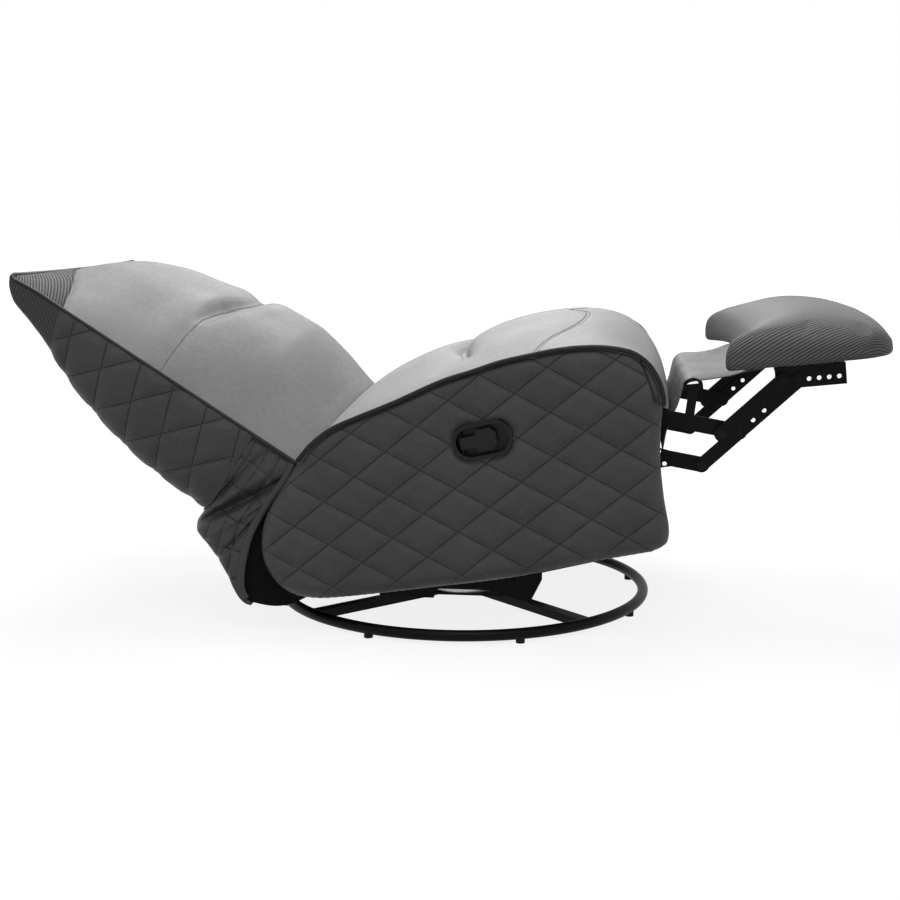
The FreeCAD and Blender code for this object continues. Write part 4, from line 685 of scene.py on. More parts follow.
def panel_place(side, hole):
    def place(x, z, swell, edge):
        spots = np.stack([x, z], 1)
        plain = (z > DART[-1][1]) & (x > np.interp(-z, [-p[1] for p in DART], [p[0] for p in DART]))
        quiet = clamp(edge / QUIET_EDGE)
        if hole is not None:
            quiet = quiet * clamp(distances(cup_tree, spots) / QUIET_CUP)
        dip = DART_DIP * np.exp(-(distances(dart_tree, spots) / DART_WIDTH) ** 2)
        face = SEAM_Y - PANEL_SINK + PANEL_SWELL * np.where(plain, PLAIN_SWELL, swell) * quiet - dip
        tucked = SEAM_Y - TOP_TUCK
        at_top = tucked + (face - tucked) * settle(distances(top_tree, spots) / TOP_ROLL)
        board = BOARD_Y + 1.0
        at_rest = board + (face - board) * quarter_round(distances(rest_tree, spots) / BOARD_ROLL)
        return on_seat(x, side * np.minimum(at_top, at_rest), z), clamp(edge / UNSEWN_EDGE) * ~plain
    return place


for side, label, hole in ((1, "left", None), (-1, "right", cup_hole)):
    panel, _ = quilted_skin(f"quilted_side_{label}", panel_outline, PANEL_PATTERN, panel_place(side, hole),
                            hole, seam=dart_line[2:])
    if side > 0:
        panel.data.flip_normals()
    panel.data.materials.append(QUILT_GREY)
    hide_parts(f"side_panel_{label}")
    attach(panel, "seat")
    dart_path = on_seat(dart_line[:, 0], side * (SEAM_Y - 0.5), dart_line[:, 1])
    stitch = tube(f"front_dart_{label}", dart_path, radius=0.0009, sides=6)
    stitch.data.materials.append(DARK_THREAD)
    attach(stitch, "seat")
    print(panel.name, len(panel.data.vertices), "points")

# %% [markdown]
# ## Foam under leather
# A cushion is a skin drawn tight over foam: pinned along its seams and swollen between them. The
# skin starts a little below its final height as an even net, Blender's Cloth blows it up with air
# pressure while the seams stay pinned, and the movement is capped so that a cushion keeps its size.
# A net is used instead of a remeshed block because every point then keeps its place on the cutting
# pattern, and the seams can be carved exactly where they are sewn.

# %% Cloth pressure on a net
CLOTH_STEPS = 20


def swelled(name, net, pinned, pressure, cap, flip=False):
    """Blows a net of points up between its pinned ones and returns the new net."""
    rows, columns = net.shape[:2]
    skin = new_piece(name, net, net_faces(rows, columns, flip=flip))
    group = skin.vertex_groups.new(name="sewn")
    group.add(np.flatnonzero(pinned.ravel()).tolist(), 1.0, "REPLACE")
    cloth = skin.modifiers.new("foam", "CLOTH")
    cloth.settings.vertex_group_mass = "sewn"
    cloth.settings.use_pressure = True
    cloth.settings.uniform_pressure_force = pressure
    cloth.settings.effector_weights.gravity = 0.0
    cloth.settings.bending_stiffness = 3.0
    cloth.collision_settings.use_collision = False
    for step in range(1, CLOTH_STEPS + 1):
        bpy.context.scene.frame_set(step)
    shown = skin.evaluated_get(bpy.context.evaluated_depsgraph_get())
    after = np.empty(rows * columns * 3, np.float32)
    shown.data.vertices.foreach_get("co", after)
    moved = after.reshape(net.shape).astype(float) - net
    length = np.linalg.norm(moved, axis=-1, keepdims=True)
    moved *= np.minimum(1.0, cap / np.maximum(length, 1e-9))
    bpy.data.objects.remove(skin)
    bpy.context.scene.frame_set(1)
    print(name, "swelled by up to", round(1000 * float(np.minimum(length, cap).max()), 1), "mm")
    return net + moved


# %% [markdown]
# The nets have closer steps towards their ends, where they bend most. After the cloth has settled a
# net is made twice as fine, on smooth curves through its points.

# %% Helpers for nets


def eased(count, bent, even):
    """Steps from -1 to 1 that lie closer together at both ends."""
    steps = np.linspace(-1, 1, count)
    return np.sin(steps * math.pi / 2) * bent + steps * even


def sewn_border(rows, columns):
    """Mask of a net's outermost points."""
    mask = np.zeros((rows, columns), bool)
    mask[[0, -1]], mask[:, [0, -1]] = True, True
    return mask


def doubled(net):
    """Twice as many rows and columns, on smooth curves through the old ones."""
    for axis in (0, 1):
        net = np.swapaxes(net, 0, axis)
        ends = np.concatenate([2 * net[:1] - net[1:2], net, 2 * net[-1:] - net[-2:-1]])
        middle = (9 * (net[:-1] + net[1:]) - ends[:-3] - ends[3:]) / 16
        fine = np.empty((2 * len(net) - 1, *net.shape[1:]))
        fine[::2], fine[1::2] = net, middle
        net = np.swapaxes(fine, 0, axis)
    return net


def net_normals(net, flip=False):
    return unit(np.cross(np.gradient(net, axis=0), np.gradient(net, axis=1))) * (-1 if flip else 1)


def sunk(net, depth, flip=False):
    """Net pushed into the foam by a depth in metres at each point."""
    return net - net_normals(net, flip) * depth[..., None]


# %% [markdown]
# ### Seams
# After swelling, a seam pulls the leather into a narrow groove. The groove is carved by distance on
# the flat pattern, and the stitches that hold it are real little threads laid along it.

# %% Carve grooves


def near_line(flat, line):
    """Distance of each pattern point to a line on the pattern."""
    best = np.full(flat.shape[:-1], 1e9)
    for point in even_steps(np.asarray(line, float), 260):
        best = np.minimum(best, np.hypot(flat[..., 0] - point[0], flat[..., 1] - point[1]))
    return best


def carved(net, flat, line, depth, width, flip=False):
    """Net with a groove along a line; depth and width in millimetres."""
    return sunk(net, depth / 1000 * np.exp(-(near_line(flat, line) / width) ** 2), flip)


# %% [markdown]
# To lay a stitch on a swollen skin, its place on the flat pattern is looked up at the nearest point
# of the net and moved on along the slopes there. Each thread dives into the leather at both ends.

# %% Lay stitches
STITCH, STITCH_GAP, THREAD_RADIUS, THREAD_SIDES = 5.0, 1.8, 0.00055, 6
STITCH_SHARES = np.array([0.0, 0.12, 0.5, 0.88, 1.0])
STITCH_WIDTHS = np.array([0.25, 0.9, 1.0, 0.9, 0.25])


def on_skin(net, flat, points):
    """Places of pattern points on the net, from the nearest net point and the slopes there."""
    tree = point_tree(flat.reshape(-1, 2))
    net_down, flat_down, net_over, flat_over = (
        np.gradient(values, axis=k) for k in (0, 1) for values in (net, flat))
    spots = []
    for point in points:
        at = divmod(tree.find((*point, 0))[1], flat.shape[1])
        slopes = np.stack([flat_down[at], flat_over[at]], 1)
        step = np.clip(np.linalg.lstsq(slopes, point - flat[at], rcond=None)[0], -1, 1)
        spots.append(net[at] + net_down[at] * step[0] + net_over[at] * step[1])
    return np.array(spots)


def stitch_rings(start, end):
    """One stitch: a short thread that dives into the leather at both ends."""
    rings = rings_along(start + (end - start) * STITCH_SHARES[:, None], THREAD_RADIUS, THREAD_SIDES)
    middle = rings.mean(1, keepdims=True)
    return middle + (rings - middle) * STITCH_WIDTHS[:, None, None]


def thread_rows(name, net, flat, lines, lift=0.0002, flip=False):
    """One piece with all the stitches of some seam lines on a skin."""
    points, faces = [], []
    lifted = net + net_normals(net, flip) * lift
    for line in lines:
        count = int(line_length(line) / (STITCH + STITCH_GAP))
        spots = on_skin(lifted, flat, even_steps(line, 2 * count + 1))
        for begin, stop in zip(spots[:-1:2], spots[1::2]):
            middle = (begin + stop) / 2
            reach = (stop - begin) * STITCH / (STITCH + STITCH_GAP)
            first = len(points) * len(STITCH_SHARES) * THREAD_SIDES
            points.append(stitch_rings(middle - reach, middle + reach).reshape(-1, 3))
            faces += net_faces(len(STITCH_SHARES), THREAD_SIDES, start=first, flip=True, ring=True)
    piece = new_piece(name, np.vstack(points), faces)
    piece.data.materials.append(DARK_THREAD)
    return piece


def beside(line, distance):
    """The same line moved sideways, for a second row of stitches."""
    ahead = unit(np.gradient(line, axis=0))
    return line + distance * np.stack([-ahead[:, 1], ahead[:, 0]], 1)


# %% [markdown]
# A pad is closed below: the skin's net is copied a little deeper, thin at the seams and thick in the
# middle, and a wall of faces joins the two borders.

# %% Close a pad
RIM_THIN, RIM_STEPS = 0.15, 14


def border_loop(rows, columns):
    """Numbers of a net's border points, in order round it."""
    loop = [*range(columns), *range(2 * columns - 1, rows * columns, columns)]
    loop += range(rows * columns - 2, (rows - 1) * columns - 1, -1)
    loop += range((rows - 2) * columns, 0, -columns)
    return np.array(loop)


def wall_faces(upper, lower):
    """Quads between two loops of points."""
    return np.stack([upper, np.roll(upper, -1), np.roll(lower, -1), lower], 1)


def pad_from(name, net, thickness, flip=False):
    rows, columns = net.shape[:2]
    i, j = np.arange(rows)[:, None], np.arange(columns)[None]
    inner = np.minimum(np.minimum(i, rows - 1 - i), np.minimum(j, columns - 1 - j))
    under = sunk(net, thickness * (RIM_THIN + (1 - RIM_THIN) * clamp(inner / RIM_STEPS)), flip)
    faces = net_faces(rows, columns, flip=flip)
    faces += net_faces(rows, columns, start=rows * columns, flip=not flip)
    rim = border_loop(rows, columns)
    wall = wall_faces(rim, rim + rows * columns)
    faces += (wall[:, ::-1] if flip else wall).tolist()
    return new_piece(name, np.concatenate([net.reshape(-1, 3), under.reshape(-1, 3)]), faces)


# %% [markdown]
# ## Seat cushion
# The seat swells from the piping on both sides to a crown in the middle, rolls over the front and
# ends in a lip. A cross crease pulls it down behind its middle, and a tongue-shaped double seam
# sets the front roll apart. Both were measured on the chair.

# %% Net of the seat
SEAT_ROWS, SEAT_COLUMNS, SEAT_HALF = 104, 96, 349.0
SIDE_FULLNESS, FRONT_FULLNESS = 2.3, 0.9
SEAT_CROWN = [(-150, 427), (-91, 458), (-14, 484), (54, 502), (100, 516), (149, 528), (201, 534),
              (277, 533), (347, 514), (386, 477), (411, 420), (416, 352)]
SEAT_SEAM = [(188, -348), (197, -324), (208, -292), (224, -262), (248, -226), (268, -182), (280, -118),
             (282, -66), (276, -42), (262, -20), (246, 0)]
SEAT_FOLD = [(62, -215), (48, -252), (18, -282)]
SEAT_CREASE = [(66, -250), (58, -190), (47, -120), (35, -50), (31, 0)]


def both_halves(line):
    """A line drawn on the right-hand half, carried over the middle to the left-hand half."""
    line = np.asarray(line, float)
    return fair_line(np.vstack([line, line[-2::-1] * (1, -1)]), 160)


side_line, crown_line = fair_line(PIPING_LINE, SEAT_ROWS), fair_line(SEAT_CROWN, SEAT_ROWS)
share = eased(SEAT_COLUMNS, 0.55, 0.45)
fullness = SIDE_FULLNESS + FRONT_FULLNESS * clamp((side_line[:, :1] - 230) / 120)
rise = 1 - np.abs(share) ** fullness
drawn = side_line[:, None] + (crown_line - side_line)[:, None] * rise[..., None]
seat_flat = np.stack([drawn[..., 0], np.broadcast_to(share * SEAT_HALF, drawn.shape[:2])], -1)
seat_net = on_seat(drawn[..., 0], seat_flat[..., 1], drawn[..., 1])
print("seat net", seat_net.shape[:2])

# %% [markdown]
# Before it is blown up, the net is sunk a little, and deeper along the crease, whose points are
# pinned too. Then the crease, two short folds at its ends and the seam are carved, and the seam
# gets its two rows of stitches.

# %% Swell, carve and sew the seat
CREASE_PINNED, CREASE_WIDTH, SEAT_SLACK = 5.0, 17.0, 4.0
TUFT_ENDS, TUFT_MIDDLE, TUFT_HALF, SEAM_SPACING = 4.0, 17.0, 240, 3.2
crease_line, seam_line = both_halves(SEAT_CREASE), both_halves(SEAT_SEAM)
from_crease = near_line(seat_flat, crease_line)
tuft = TUFT_ENDS + TUFT_MIDDLE * clamp((TUFT_HALF - np.abs(seat_flat[..., 1])) / 120)
low = SEAT_SLACK * rise + tuft * np.exp(-(from_crease / CREASE_WIDTH) ** 2)
pinned = sewn_border(SEAT_ROWS, SEAT_COLUMNS) | (from_crease < CREASE_PINNED)
seat_net = swelled("seat foam", sunk(seat_net, low / 1000), pinned, pressure=4.0, cap=0.024)
seat_net, seat_flat = doubled(seat_net), doubled(seat_flat)
for line, depth, width in ((crease_line, 7.0, 5.0), (SEAT_FOLD, 4.0, 12.0),
                           (np.array(SEAT_FOLD) * (1, -1), 4.0, 12.0), (seam_line, 1.8, 5.0)):
    seat_net = carved(seat_net, seat_flat, line, depth, width)
seat = pad_from("seat_cushion_foam", seat_net, thickness=0.022)
seat.data.materials.append(SEAT_GREY)
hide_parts("seat_cushion")
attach(seat, "seat")
seat_threads = thread_rows("seat_stitches", seat_net, seat_flat,
                           [beside(seam_line, SEAM_SPACING), beside(seam_line, -SEAM_SPACING)])
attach(seat_threads, "seat")
print("seat cushion", len(seat.data.vertices), "points")

# %% [markdown]
# ## Piping on the seat
# Piping is a cord wrapped in a strip of leather and sewn between two panels, so it hides their
# seam. It is a tube swept along the same line that both panels end at.

# %% Seat piping
PIPING_RADIUS, PIPING_LIFT = 0.0042, 0.4
piping_path = fair_line(PIPING_LINE, 220)
outward = np.stack([-np.gradient(piping_path[:, 1]), np.gradient(piping_path[:, 0])], 1)
lifted = piping_path + outward * PIPING_LIFT
for side, label in ((1, "left"), (-1, "right")):
    cord = tube(f"seat_piping_{label}", on_seat(lifted[:, 0], side * SEAM_Y, lifted[:, 1]), PIPING_RADIUS)
    cord.data.materials.append(PIPING_BLACK)
    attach(cord, "seat")
print("seat piping", round(float(line_length(piping_path))), "mm a side")

# %% [markdown]
# ## Back cushions
# The front of the back is one hide cut in two: a lumbar cushion below and a head cushion above,
# sewn together along a waist that dips in the middle, where it is pulled deep into the foam. Both
# are drawn as a height above the flat back, so they share the waist line point for point.

# %% Heights of the back
BACK_HALF, BACK_SET, BACK_TOP, TOP_SAG = 325.0, -12.0, 595.0, 6.0
WAIST = [(-325, 287), (-300, 292), (-250, 297), (-190, 297), (-150, 290), (-100, 276), (-50, 260), (0, 252)]
WAIST_PULL = [(0, 0.35), (60, 0.65), (115, 1.0), (165, 0.75), (215, 0.15), (325, 0.0)]
CROWN = [(-60, 72), (-30, 94), (-2, 108), (66, 132), (132, 147), (165, 148), (218, 144), (251, 136),
         (293, 128), (361, 113), (422, 100), (474, 80), (516, 58), (556, 26), (580, 7), (603, -10)]
BAND_FRONT = [(490, -325), (512, -270), (542, -200), (563, -130), (571, 0)]
EDGE_TURN, EDGE_LIFT, EDGE_DROOP, CORNER_Y = 520, 1.5, 8.0, 306
BULGE_POWER, WAIST_CREASE, WAIST_TUCK, ABOVE_WAIST, BELOW_WAIST, TOP_ROUND = 2.5, 3.0, 19.0, 24.0, 19.0, 60


def edge_set(along, y):
    """Height of the piped edge: it lifts a little over the board's top and droops at the corners."""
    corner = clamp((np.abs(y) - CORNER_Y) / (BACK_HALF - CORNER_Y))
    droop = clamp((along - EDGE_TURN) / 80) ** 2 * corner ** 2
    return BACK_SET + EDGE_LIFT * clamp((along - EDGE_TURN) / 60) - EDGE_DROOP * droop


def top_edge(y):
    """The top edge hangs in between its two corners."""
    return BACK_TOP - TOP_SAG * (1 - (y / BACK_HALF) ** 2)


def waist_at(y):
    return np.interp(-np.abs(y), *np.transpose(WAIST))


def band_at(y):
    """Where the ribbed band of the headrest begins."""
    along, across = np.transpose(BAND_FRONT)
    return np.interp(-np.abs(y), across, along)


def back_height(along, y):
    """Height of the swollen back above its flat drawing."""
    crown = np.interp(along, *fair_line(CROWN, 120).T)
    bulge = 1 - np.abs(y / BACK_HALF) ** BULGE_POWER
    pull = np.interp(np.abs(y), *np.transpose(WAIST_PULL))
    beyond = along - waist_at(y)
    width = np.where(beyond > 0, ABOVE_WAIST, BELOW_WAIST)
    crease = (WAIST_CREASE + WAIST_TUCK * pull) * np.exp(-(beyond / width) ** 2)
    swollen = (crown - edge_set(along, y)) * bulge * quarter_round((top_edge(y) - along) / TOP_ROUND)
    return edge_set(along, y) + swollen - crease * clamp(bulge * 4)


print("back stands", round(float(back_height(150.0, 0.0))), "mm high at the lumbar")

# %% [markdown]
# Each cushion is a net from one line across the back to the next. It starts a little slack, with its
# four edges pinned, and the cloth pressure fills it.

# %% Nets of the two cushions
BACK_COLUMNS, LUMBAR_LOW = 92, -45.0


def back_cushion(name, lines, counts):
    """Net across the back from line to line, swelled while its four edges stay sewn."""
    rows = sum(counts) + 1
    share = eased(BACK_COLUMNS, 0.55, 0.45)
    y = np.broadcast_to(share * BACK_HALF, (rows, BACK_COLUMNS))
    along = []
    for start, end, count in zip(lines, lines[1:], counts):
        along += [start(y[0]) + (end(y[0]) - start(y[0])) * k / count for k in range(count)]
    along = np.array(along + [lines[-1](y[0])])
    run = np.linspace(0, 1, rows)[:, None]
    slack = np.minimum(np.minimum(run, 1 - run) * 5, 1) * clamp((1 - np.abs(share)) * 4)[None]
    net = sunk(on_back(along, y, back_height(along, y)), 0.005 * slack, flip=True)
    net = swelled(name + " foam", net, sewn_border(rows, BACK_COLUMNS), pressure=4.0, cap=0.022,
                  flip=True)
    return doubled(net), doubled(np.stack([along, y], -1))


lumbar_net, _ = back_cushion("lumbar", [lambda y: np.full_like(y, LUMBAR_LOW), waist_at], [55])
head_net, head_flat = back_cushion("head", [waist_at, band_at, top_edge], [38, 14])
print("lumbar net", lumbar_net.shape[:2], "head net", head_net.shape[:2])

# %% [markdown]
# The lumbar cushion reaches down behind the seat, so when the back comes up its lower edge would have
# to stay with the seat while the rest turns. Here it is one closed pad, fixed where it is drawn.

# %% Lumbar cushion
lumbar = pad_from("lumbar_cushion_foam", lumbar_net, thickness=0.020, flip=True)
lumbar.data.materials.append(BACK_GREY)
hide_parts("lumbar_cushion")
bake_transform(lumbar)
print("lumbar cushion", len(lumbar.data.vertices), "points")

# %% [markdown]
# The head cushion ends in a band of ribbed cloth that wraps the top edge. The band is the same skin
# with another material, so its faces are picked by their place on the pattern, and a stitched seam
# covers the change.

# %% Head cushion
RIB_PITCH = 5.0


def ribbed_beyond(piece, flat, border):
    """Gives a piece a second material, the ribbed cloth darkened as painted shade, where the pattern runs past
    a border line.
    """
    piece.data.materials.append(RIBBED_SHADED)
    for face in piece.data.polygons:
        along, over = flat[list(face.vertices)].mean(0)
        face.material_index = int(along > border(over))


band_line = both_halves(BAND_FRONT)
head_net = carved(head_net, head_flat, band_line, depth=2.0, width=4.0, flip=True)
head = pad_from("head_cushion_foam", head_net, thickness=0.018, flip=True)
head.data.materials.append(BACK_GREY)
both_faces = np.concatenate([head_flat.reshape(-1, 2)] * 2)
ribbed_beyond(head, both_faces, band_at)
mark_points(head, "rib", (0.874 * both_faces[:, 0] + 0.485 * np.abs(both_faces[:, 1])) / RIB_PITCH, 1.0, 0.0)
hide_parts("head_cushion")
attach(head, "back")
head_threads = thread_rows("head_stitches", head_net, head_flat, [beside(band_line, -2.5)], flip=True)
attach(head_threads, "back")
print("head cushion", len(head.data.vertices), "points")

# %% [markdown]
# ## Back cover
# Behind the cushions a quilted cover goes round the foam like a shallow tray: down each side, round
# a soft corner and over the rear. Its section is a quarter of a rounded square, measured off once
# as a unit curve and then scaled to the cover's depth.

# %% Section of the cover
COVER_START = 95.0
COVER_DEPTH = [(95, 187), (255, 173), (397, 131), (500, 78), (556, 56), (585, 45), (603, 37)]
SECTION_ROUND, SECTION_POWER = 0.5, 3.5
quarter = np.linspace(0, math.pi / 2, 200)
unit_out = SECTION_ROUND * np.cos(quarter) ** (2 / SECTION_POWER)
unit_deep = np.sin(quarter) ** (2 / SECTION_POWER)
unit_gone = np.r_[0, np.cumsum(np.hypot(np.diff(unit_out), np.diff(unit_deep)))]


def cover_wall(along):
    """Depth of the cover behind its piped edge."""
    return np.interp(along, *fair_line(COVER_DEPTH, 100).T) + BACK_SET


def cover_section(along, gone):
    """Distance from the piping to (out, depth, out-normal, depth-normal) on the rounded section."""
    wall = cover_wall(along)
    part = gone / wall
    beyond = np.clip(gone - wall * unit_gone[-1], 0, None)
    out = BACK_HALF + wall * (np.interp(part, unit_gone, unit_out) - SECTION_ROUND) - beyond
    depth = wall * np.interp(part, unit_gone, unit_deep)
    out_normal = np.interp(part, unit_gone, np.gradient(unit_deep, unit_gone), right=0.0)
    return out, depth, out_normal, np.sqrt(clamp(1 - out_normal ** 2))


def half_girth(along):
    return BACK_HALF + cover_wall(along) * (unit_gone[-1] - SECTION_ROUND)


def cover_top(gone):
    """Upper edge of the cover at a distance from the piping."""
    return top_edge(BACK_HALF * clamp(1 - gone / half_girth(top_edge(0.0))))


print("half the cover is", round(float(half_girth(COVER_START))), "mm wide at its lower seam")

# %% [markdown]
# The cover is drawn unrolled, as length up the back against distance from the piping, one half at a
# time, with a seam down the middle of the rear. The headrest's ribbed band goes on round it.

# %% Place the cover
BAND_SIDE = [(494, 0), (480, 50), (474, 90), (470, 180), (470, 460)]
TOP_CLOSING, CORNER_CLOSING, CORNER_REACH = 12.0, 26.0, 90
SIDE_SWELL, REAR_LOSS, BAND_FADE = 5.5, 2.5, 14.0


def band_behind(gone):
    along, over = np.transpose(BAND_SIDE)
    return np.interp(gone, over, along)


def cover_place(side):
    def place(along, gone, swell, edge):
        plain = clamp((band_behind(gone) - along) / BAND_FADE)
        out, depth, out_normal, deep_normal = cover_section(along, gone)
        lift = clamp(edge / 20.0) * (1.0 + (SIDE_SWELL - REAR_LOSS * deep_normal) * swell * plain)
        closing = TOP_CLOSING + CORNER_CLOSING * clamp(1 - gone / CORNER_REACH)
        depth = depth * quarter_round((cover_top(gone) - along) / closing)
        sewn = clamp(edge / UNSEWN_EDGE) * (along < band_behind(gone) - 4.0)
        height = edge_set(along, out) - depth - lift * deep_normal
        return on_back(along, side * (out + lift * out_normal), height), sewn
    return place


# %% [markdown]
# The outline goes up the piping, over the top, down the middle of the rear and back along the lower
# seam. The band's seam is given to the triangulation, so the two materials meet on a clean line.

# %% Cut the cover
COVER_PATTERN = (np.array([[-0.01455, -0.00412], [-0.01080, 0.01004]]), np.array([528.0, 11.5]))
up, middle_up = np.linspace(COVER_START, BACK_TOP, 110), np.linspace(COVER_START, top_edge(0.0), 110)[::-1]
over = np.linspace(0, half_girth(top_edge(0.0)), 70)
cover_outline = np.vstack([
    np.stack([up, np.zeros_like(up)], 1),
    np.stack([cover_top(over), over], 1)[1:-1],
    np.stack([middle_up, half_girth(middle_up)], 1),
    np.stack([np.full(78, COVER_START), np.linspace(half_girth(COVER_START), 0, 80)[1:-1]], 1)])
band_seam = fair_line(BAND_SIDE, 120)
band_seam = band_seam[(band_seam[:, 1] > 3) & (band_seam[:, 1] < half_girth(470.0) - 3)]
for side, label in ((1, "left"), (-1, "right")):
    cover, flat = quilted_skin(f"back_cover_quilt_{label}", cover_outline, COVER_PATTERN, cover_place(side),
                               seam=band_seam)
    if side < 0:
        cover.data.flip_normals()
    cover.data.materials.append(QUILT_GREY)
    ribbed_beyond(cover, flat, band_behind)
    mark_points(cover, "rib", (0.98 * flat[:, 0] + 0.21 * flat[:, 1]) / RIB_PITCH, 1.0, 0.0)
    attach(cover, "back")
    if side < 0:
        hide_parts("back_cover")
    print(cover.name, len(cover.data.vertices), "points")

# %% [markdown]
# ## Piping on the back
# One cord runs up each side of the back and across its top edge, and stands for the seam of the
# cushions and the cover.

# %% Back piping
edge_line = [(4, -325), (150, -325), (300, -325), (450, -325), (562, -325), (590, -324), (597, -316)]
edge_line += [(top_edge(y) + 2.0, y) for y in (-290.0, -220.0, -150.0, -75.0, 0.0)]
edge_line = fair_line(np.vstack([edge_line, np.array(edge_line[-2::-1]) * (1, -1)]), 520)
edge_along, edge_y = edge_line.T
back_cord = tube("back_piping", on_back(edge_along, edge_y, edge_set(edge_along, edge_y) - 1.0), PIPING_RADIUS)
back_cord.data.materials.append(PIPING_BLACK)
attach(back_cord, "back")
print("back piping", len(back_cord.data.vertices), "points")

# %% [markdown]
# ## Gathered skirt
# Between the cover's lower seam and the floor hangs a quilted skirt that hides the hinge. It is
# gathered where the back folds, so it lies in deep folds that run from the hinge to the rear. It is
# a net whose rows fan out from the hinge: the first lies along the cover's seam, the last along the
# lower edge. The quilting is measured along the front hem and away from it.

# %% Skirt's rows and pattern
SKIRT_FRONT = [(-309, 393), (-272, 362), (-243, 338), (-264, 306), (-304, 262), (-337, 215), (-357, 165),
               (-365, 125), (-360, 102), (-350, 91)]
SKIRT_REAR = [(-418, 256), (-436, 249), (-443, 231), (-433, 210), (-416, 186), (-399, 153), (-386, 121),
              (-375, 101), (-364, 90), (-354, 85)]
ROWS, SIDE_STEPS, REAR_STEPS = 120, 52, 96
CELL_WIDTH, CELL_LENGTH, CELLS_REAR = 25.0, 48.0, 22.0
SEAM_HOLD = 0.22
skirt_front, skirt_rear = fair_line(SKIRT_FRONT, ROWS), fair_line(SKIRT_REAR, ROWS)
down = np.linspace(0, 1, ROWS)[:, None]
around = np.linspace(0, 1, SIDE_STEPS)[None]
across = np.linspace(-1, 1, REAR_STEPS)[None]
free = clamp(down / SEAM_HOLD)
free = free ** 2 * (3 - 2 * free)
section_part = around * unit_gone[-1]
reach = np.interp(section_part, unit_gone, unit_deep) * (1 - free) + around * free
side_x, side_z = (skirt_front[:, k, None] + (skirt_rear - skirt_front)[:, k, None] * reach for k in (0, 1))
hem_line = fair_line(SKIRT_FRONT[2:], 300)
hem_tree = point_tree(hem_line)
hem_step = np.linalg.norm(hem_line[1] - hem_line[0])
nearest = np.array([hem_tree.find((x, z, 0))[1:] for x, z in zip(side_x.ravel(), side_z.ravel())])
side_u = nearest[:, 0].reshape(ROWS, SIDE_STEPS) * (hem_step / CELL_LENGTH)
side_v = nearest[:, 1].reshape(ROWS, SIDE_STEPS) * (1 / CELL_WIDTH)
rear_u = np.broadcast_to(side_u[:, -1:], (ROWS, REAR_STEPS))
rear_v = side_v[:, -1:] + CELLS_REAR * (across + 1) / 2
print("front hem", round(float(line_length(hem_line))), "mm long")

# %% [markdown]
# The net goes down the near side, round the rear and up the far side. Each point is held by the
# cover's section at the top and hangs free of it lower down; the folds are soft dents and ridges
# whose place drifts from front to rear.

# %% Net of the skirt
SKIRT_HALF, SKIRT_CORNER, SKIRT_PUFF = 321.0, 30.0, 3.5
FOLDS = [(0.11, -0.03, 0.020, 7.0), (0.21, -0.08, 0.030, -5.0), (0.33, -0.16, 0.036, 18.0),
         (0.43, -0.13, 0.030, -5.0), (0.53, -0.02, 0.026, 6.0)]


def quilt_rise(u, v):
    """Swelling between rows of stitches that cross at whole numbers of u and v."""
    return settle(off_row(u) / 0.3) * settle(off_row(v) / 0.3)


def gathers(run):
    """Depth of the gathered folds: sharp creases with soft ridges between them."""
    return sum(deep * np.exp(-((down - centre - drift * run) / width) ** 2)
               for centre, drift, width, deep in FOLDS)


def corner_cut(values):
    """From 0 to 1 along a quarter circle that starts level, for rounding a corner off."""
    return 1 - np.sqrt(1 - clamp(values) ** 2)


def skirt_net():
    wall = cover_wall(COVER_START)
    seam_y = BACK_HALF - 1.0 + wall * (np.interp(section_part, unit_gone, unit_out) - SECTION_ROUND)
    held = np.sin(math.pi * clamp(around * 0.9 + 0.04)) ** 0.8
    hanging = SKIRT_HALF - 2.0 - SKIRT_CORNER * corner_cut((around - 0.78) / 0.22)
    puff = SKIRT_PUFF * quilt_rise(side_u, side_v)
    y = seam_y * (1 - free) + hanging * free + puff - gathers(around) * held
    near = np.stack([side_x, -y, side_z], -1)
    half = (BACK_HALF - wall * SECTION_ROUND) * (1 - free) + (SKIRT_HALF - SKIRT_CORNER) * free
    rear_puff = SKIRT_PUFF * quilt_rise(rear_u, rear_v) * (1 - across ** 8)
    soft = 0.5 * gathers(1.0 + 0.4 * np.sin(5 * across)) * (0.6 + 0.4 * across ** 2)
    rear_x, rear_z = skirt_rear[:, 0, None] - rear_puff + soft, skirt_rear[:, 1, None]
    behind = np.stack(np.broadcast_arrays(rear_x, half * across, rear_z), -1)
    return np.concatenate([near, behind[:, 1:-1], near[:, ::-1] * (1, -1, 1)], 1)


# %% [markdown]
# The skirt is one quilted sheet over the net, thickened like leather and fixed where it is drawn.

# %% Skirt
net = skirt_net()
skirt = new_piece("gathered_skirt", on_seat(*np.moveaxis(net, -1, 0)), net_faces(*net.shape[:2], flip=True))
u, v = (np.concatenate([side, rear[:, 1:-1], side[:, ::-1]], 1)
        for side, rear in ((side_u, rear_u), (side_v, rear_v)))
mark_points(skirt, "quilt", u, v, 1.0)
skirt.data.materials.append(QUILT_GREY)
thicken(skirt, LEATHER_GAUGE)
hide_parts("rear_skirt")
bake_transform(skirt)

# %% [markdown]
# The skirt's front edge is turned over into a thick hem. A black lining is stretched from the hem
# in behind the side panel, so nobody sees into the works.

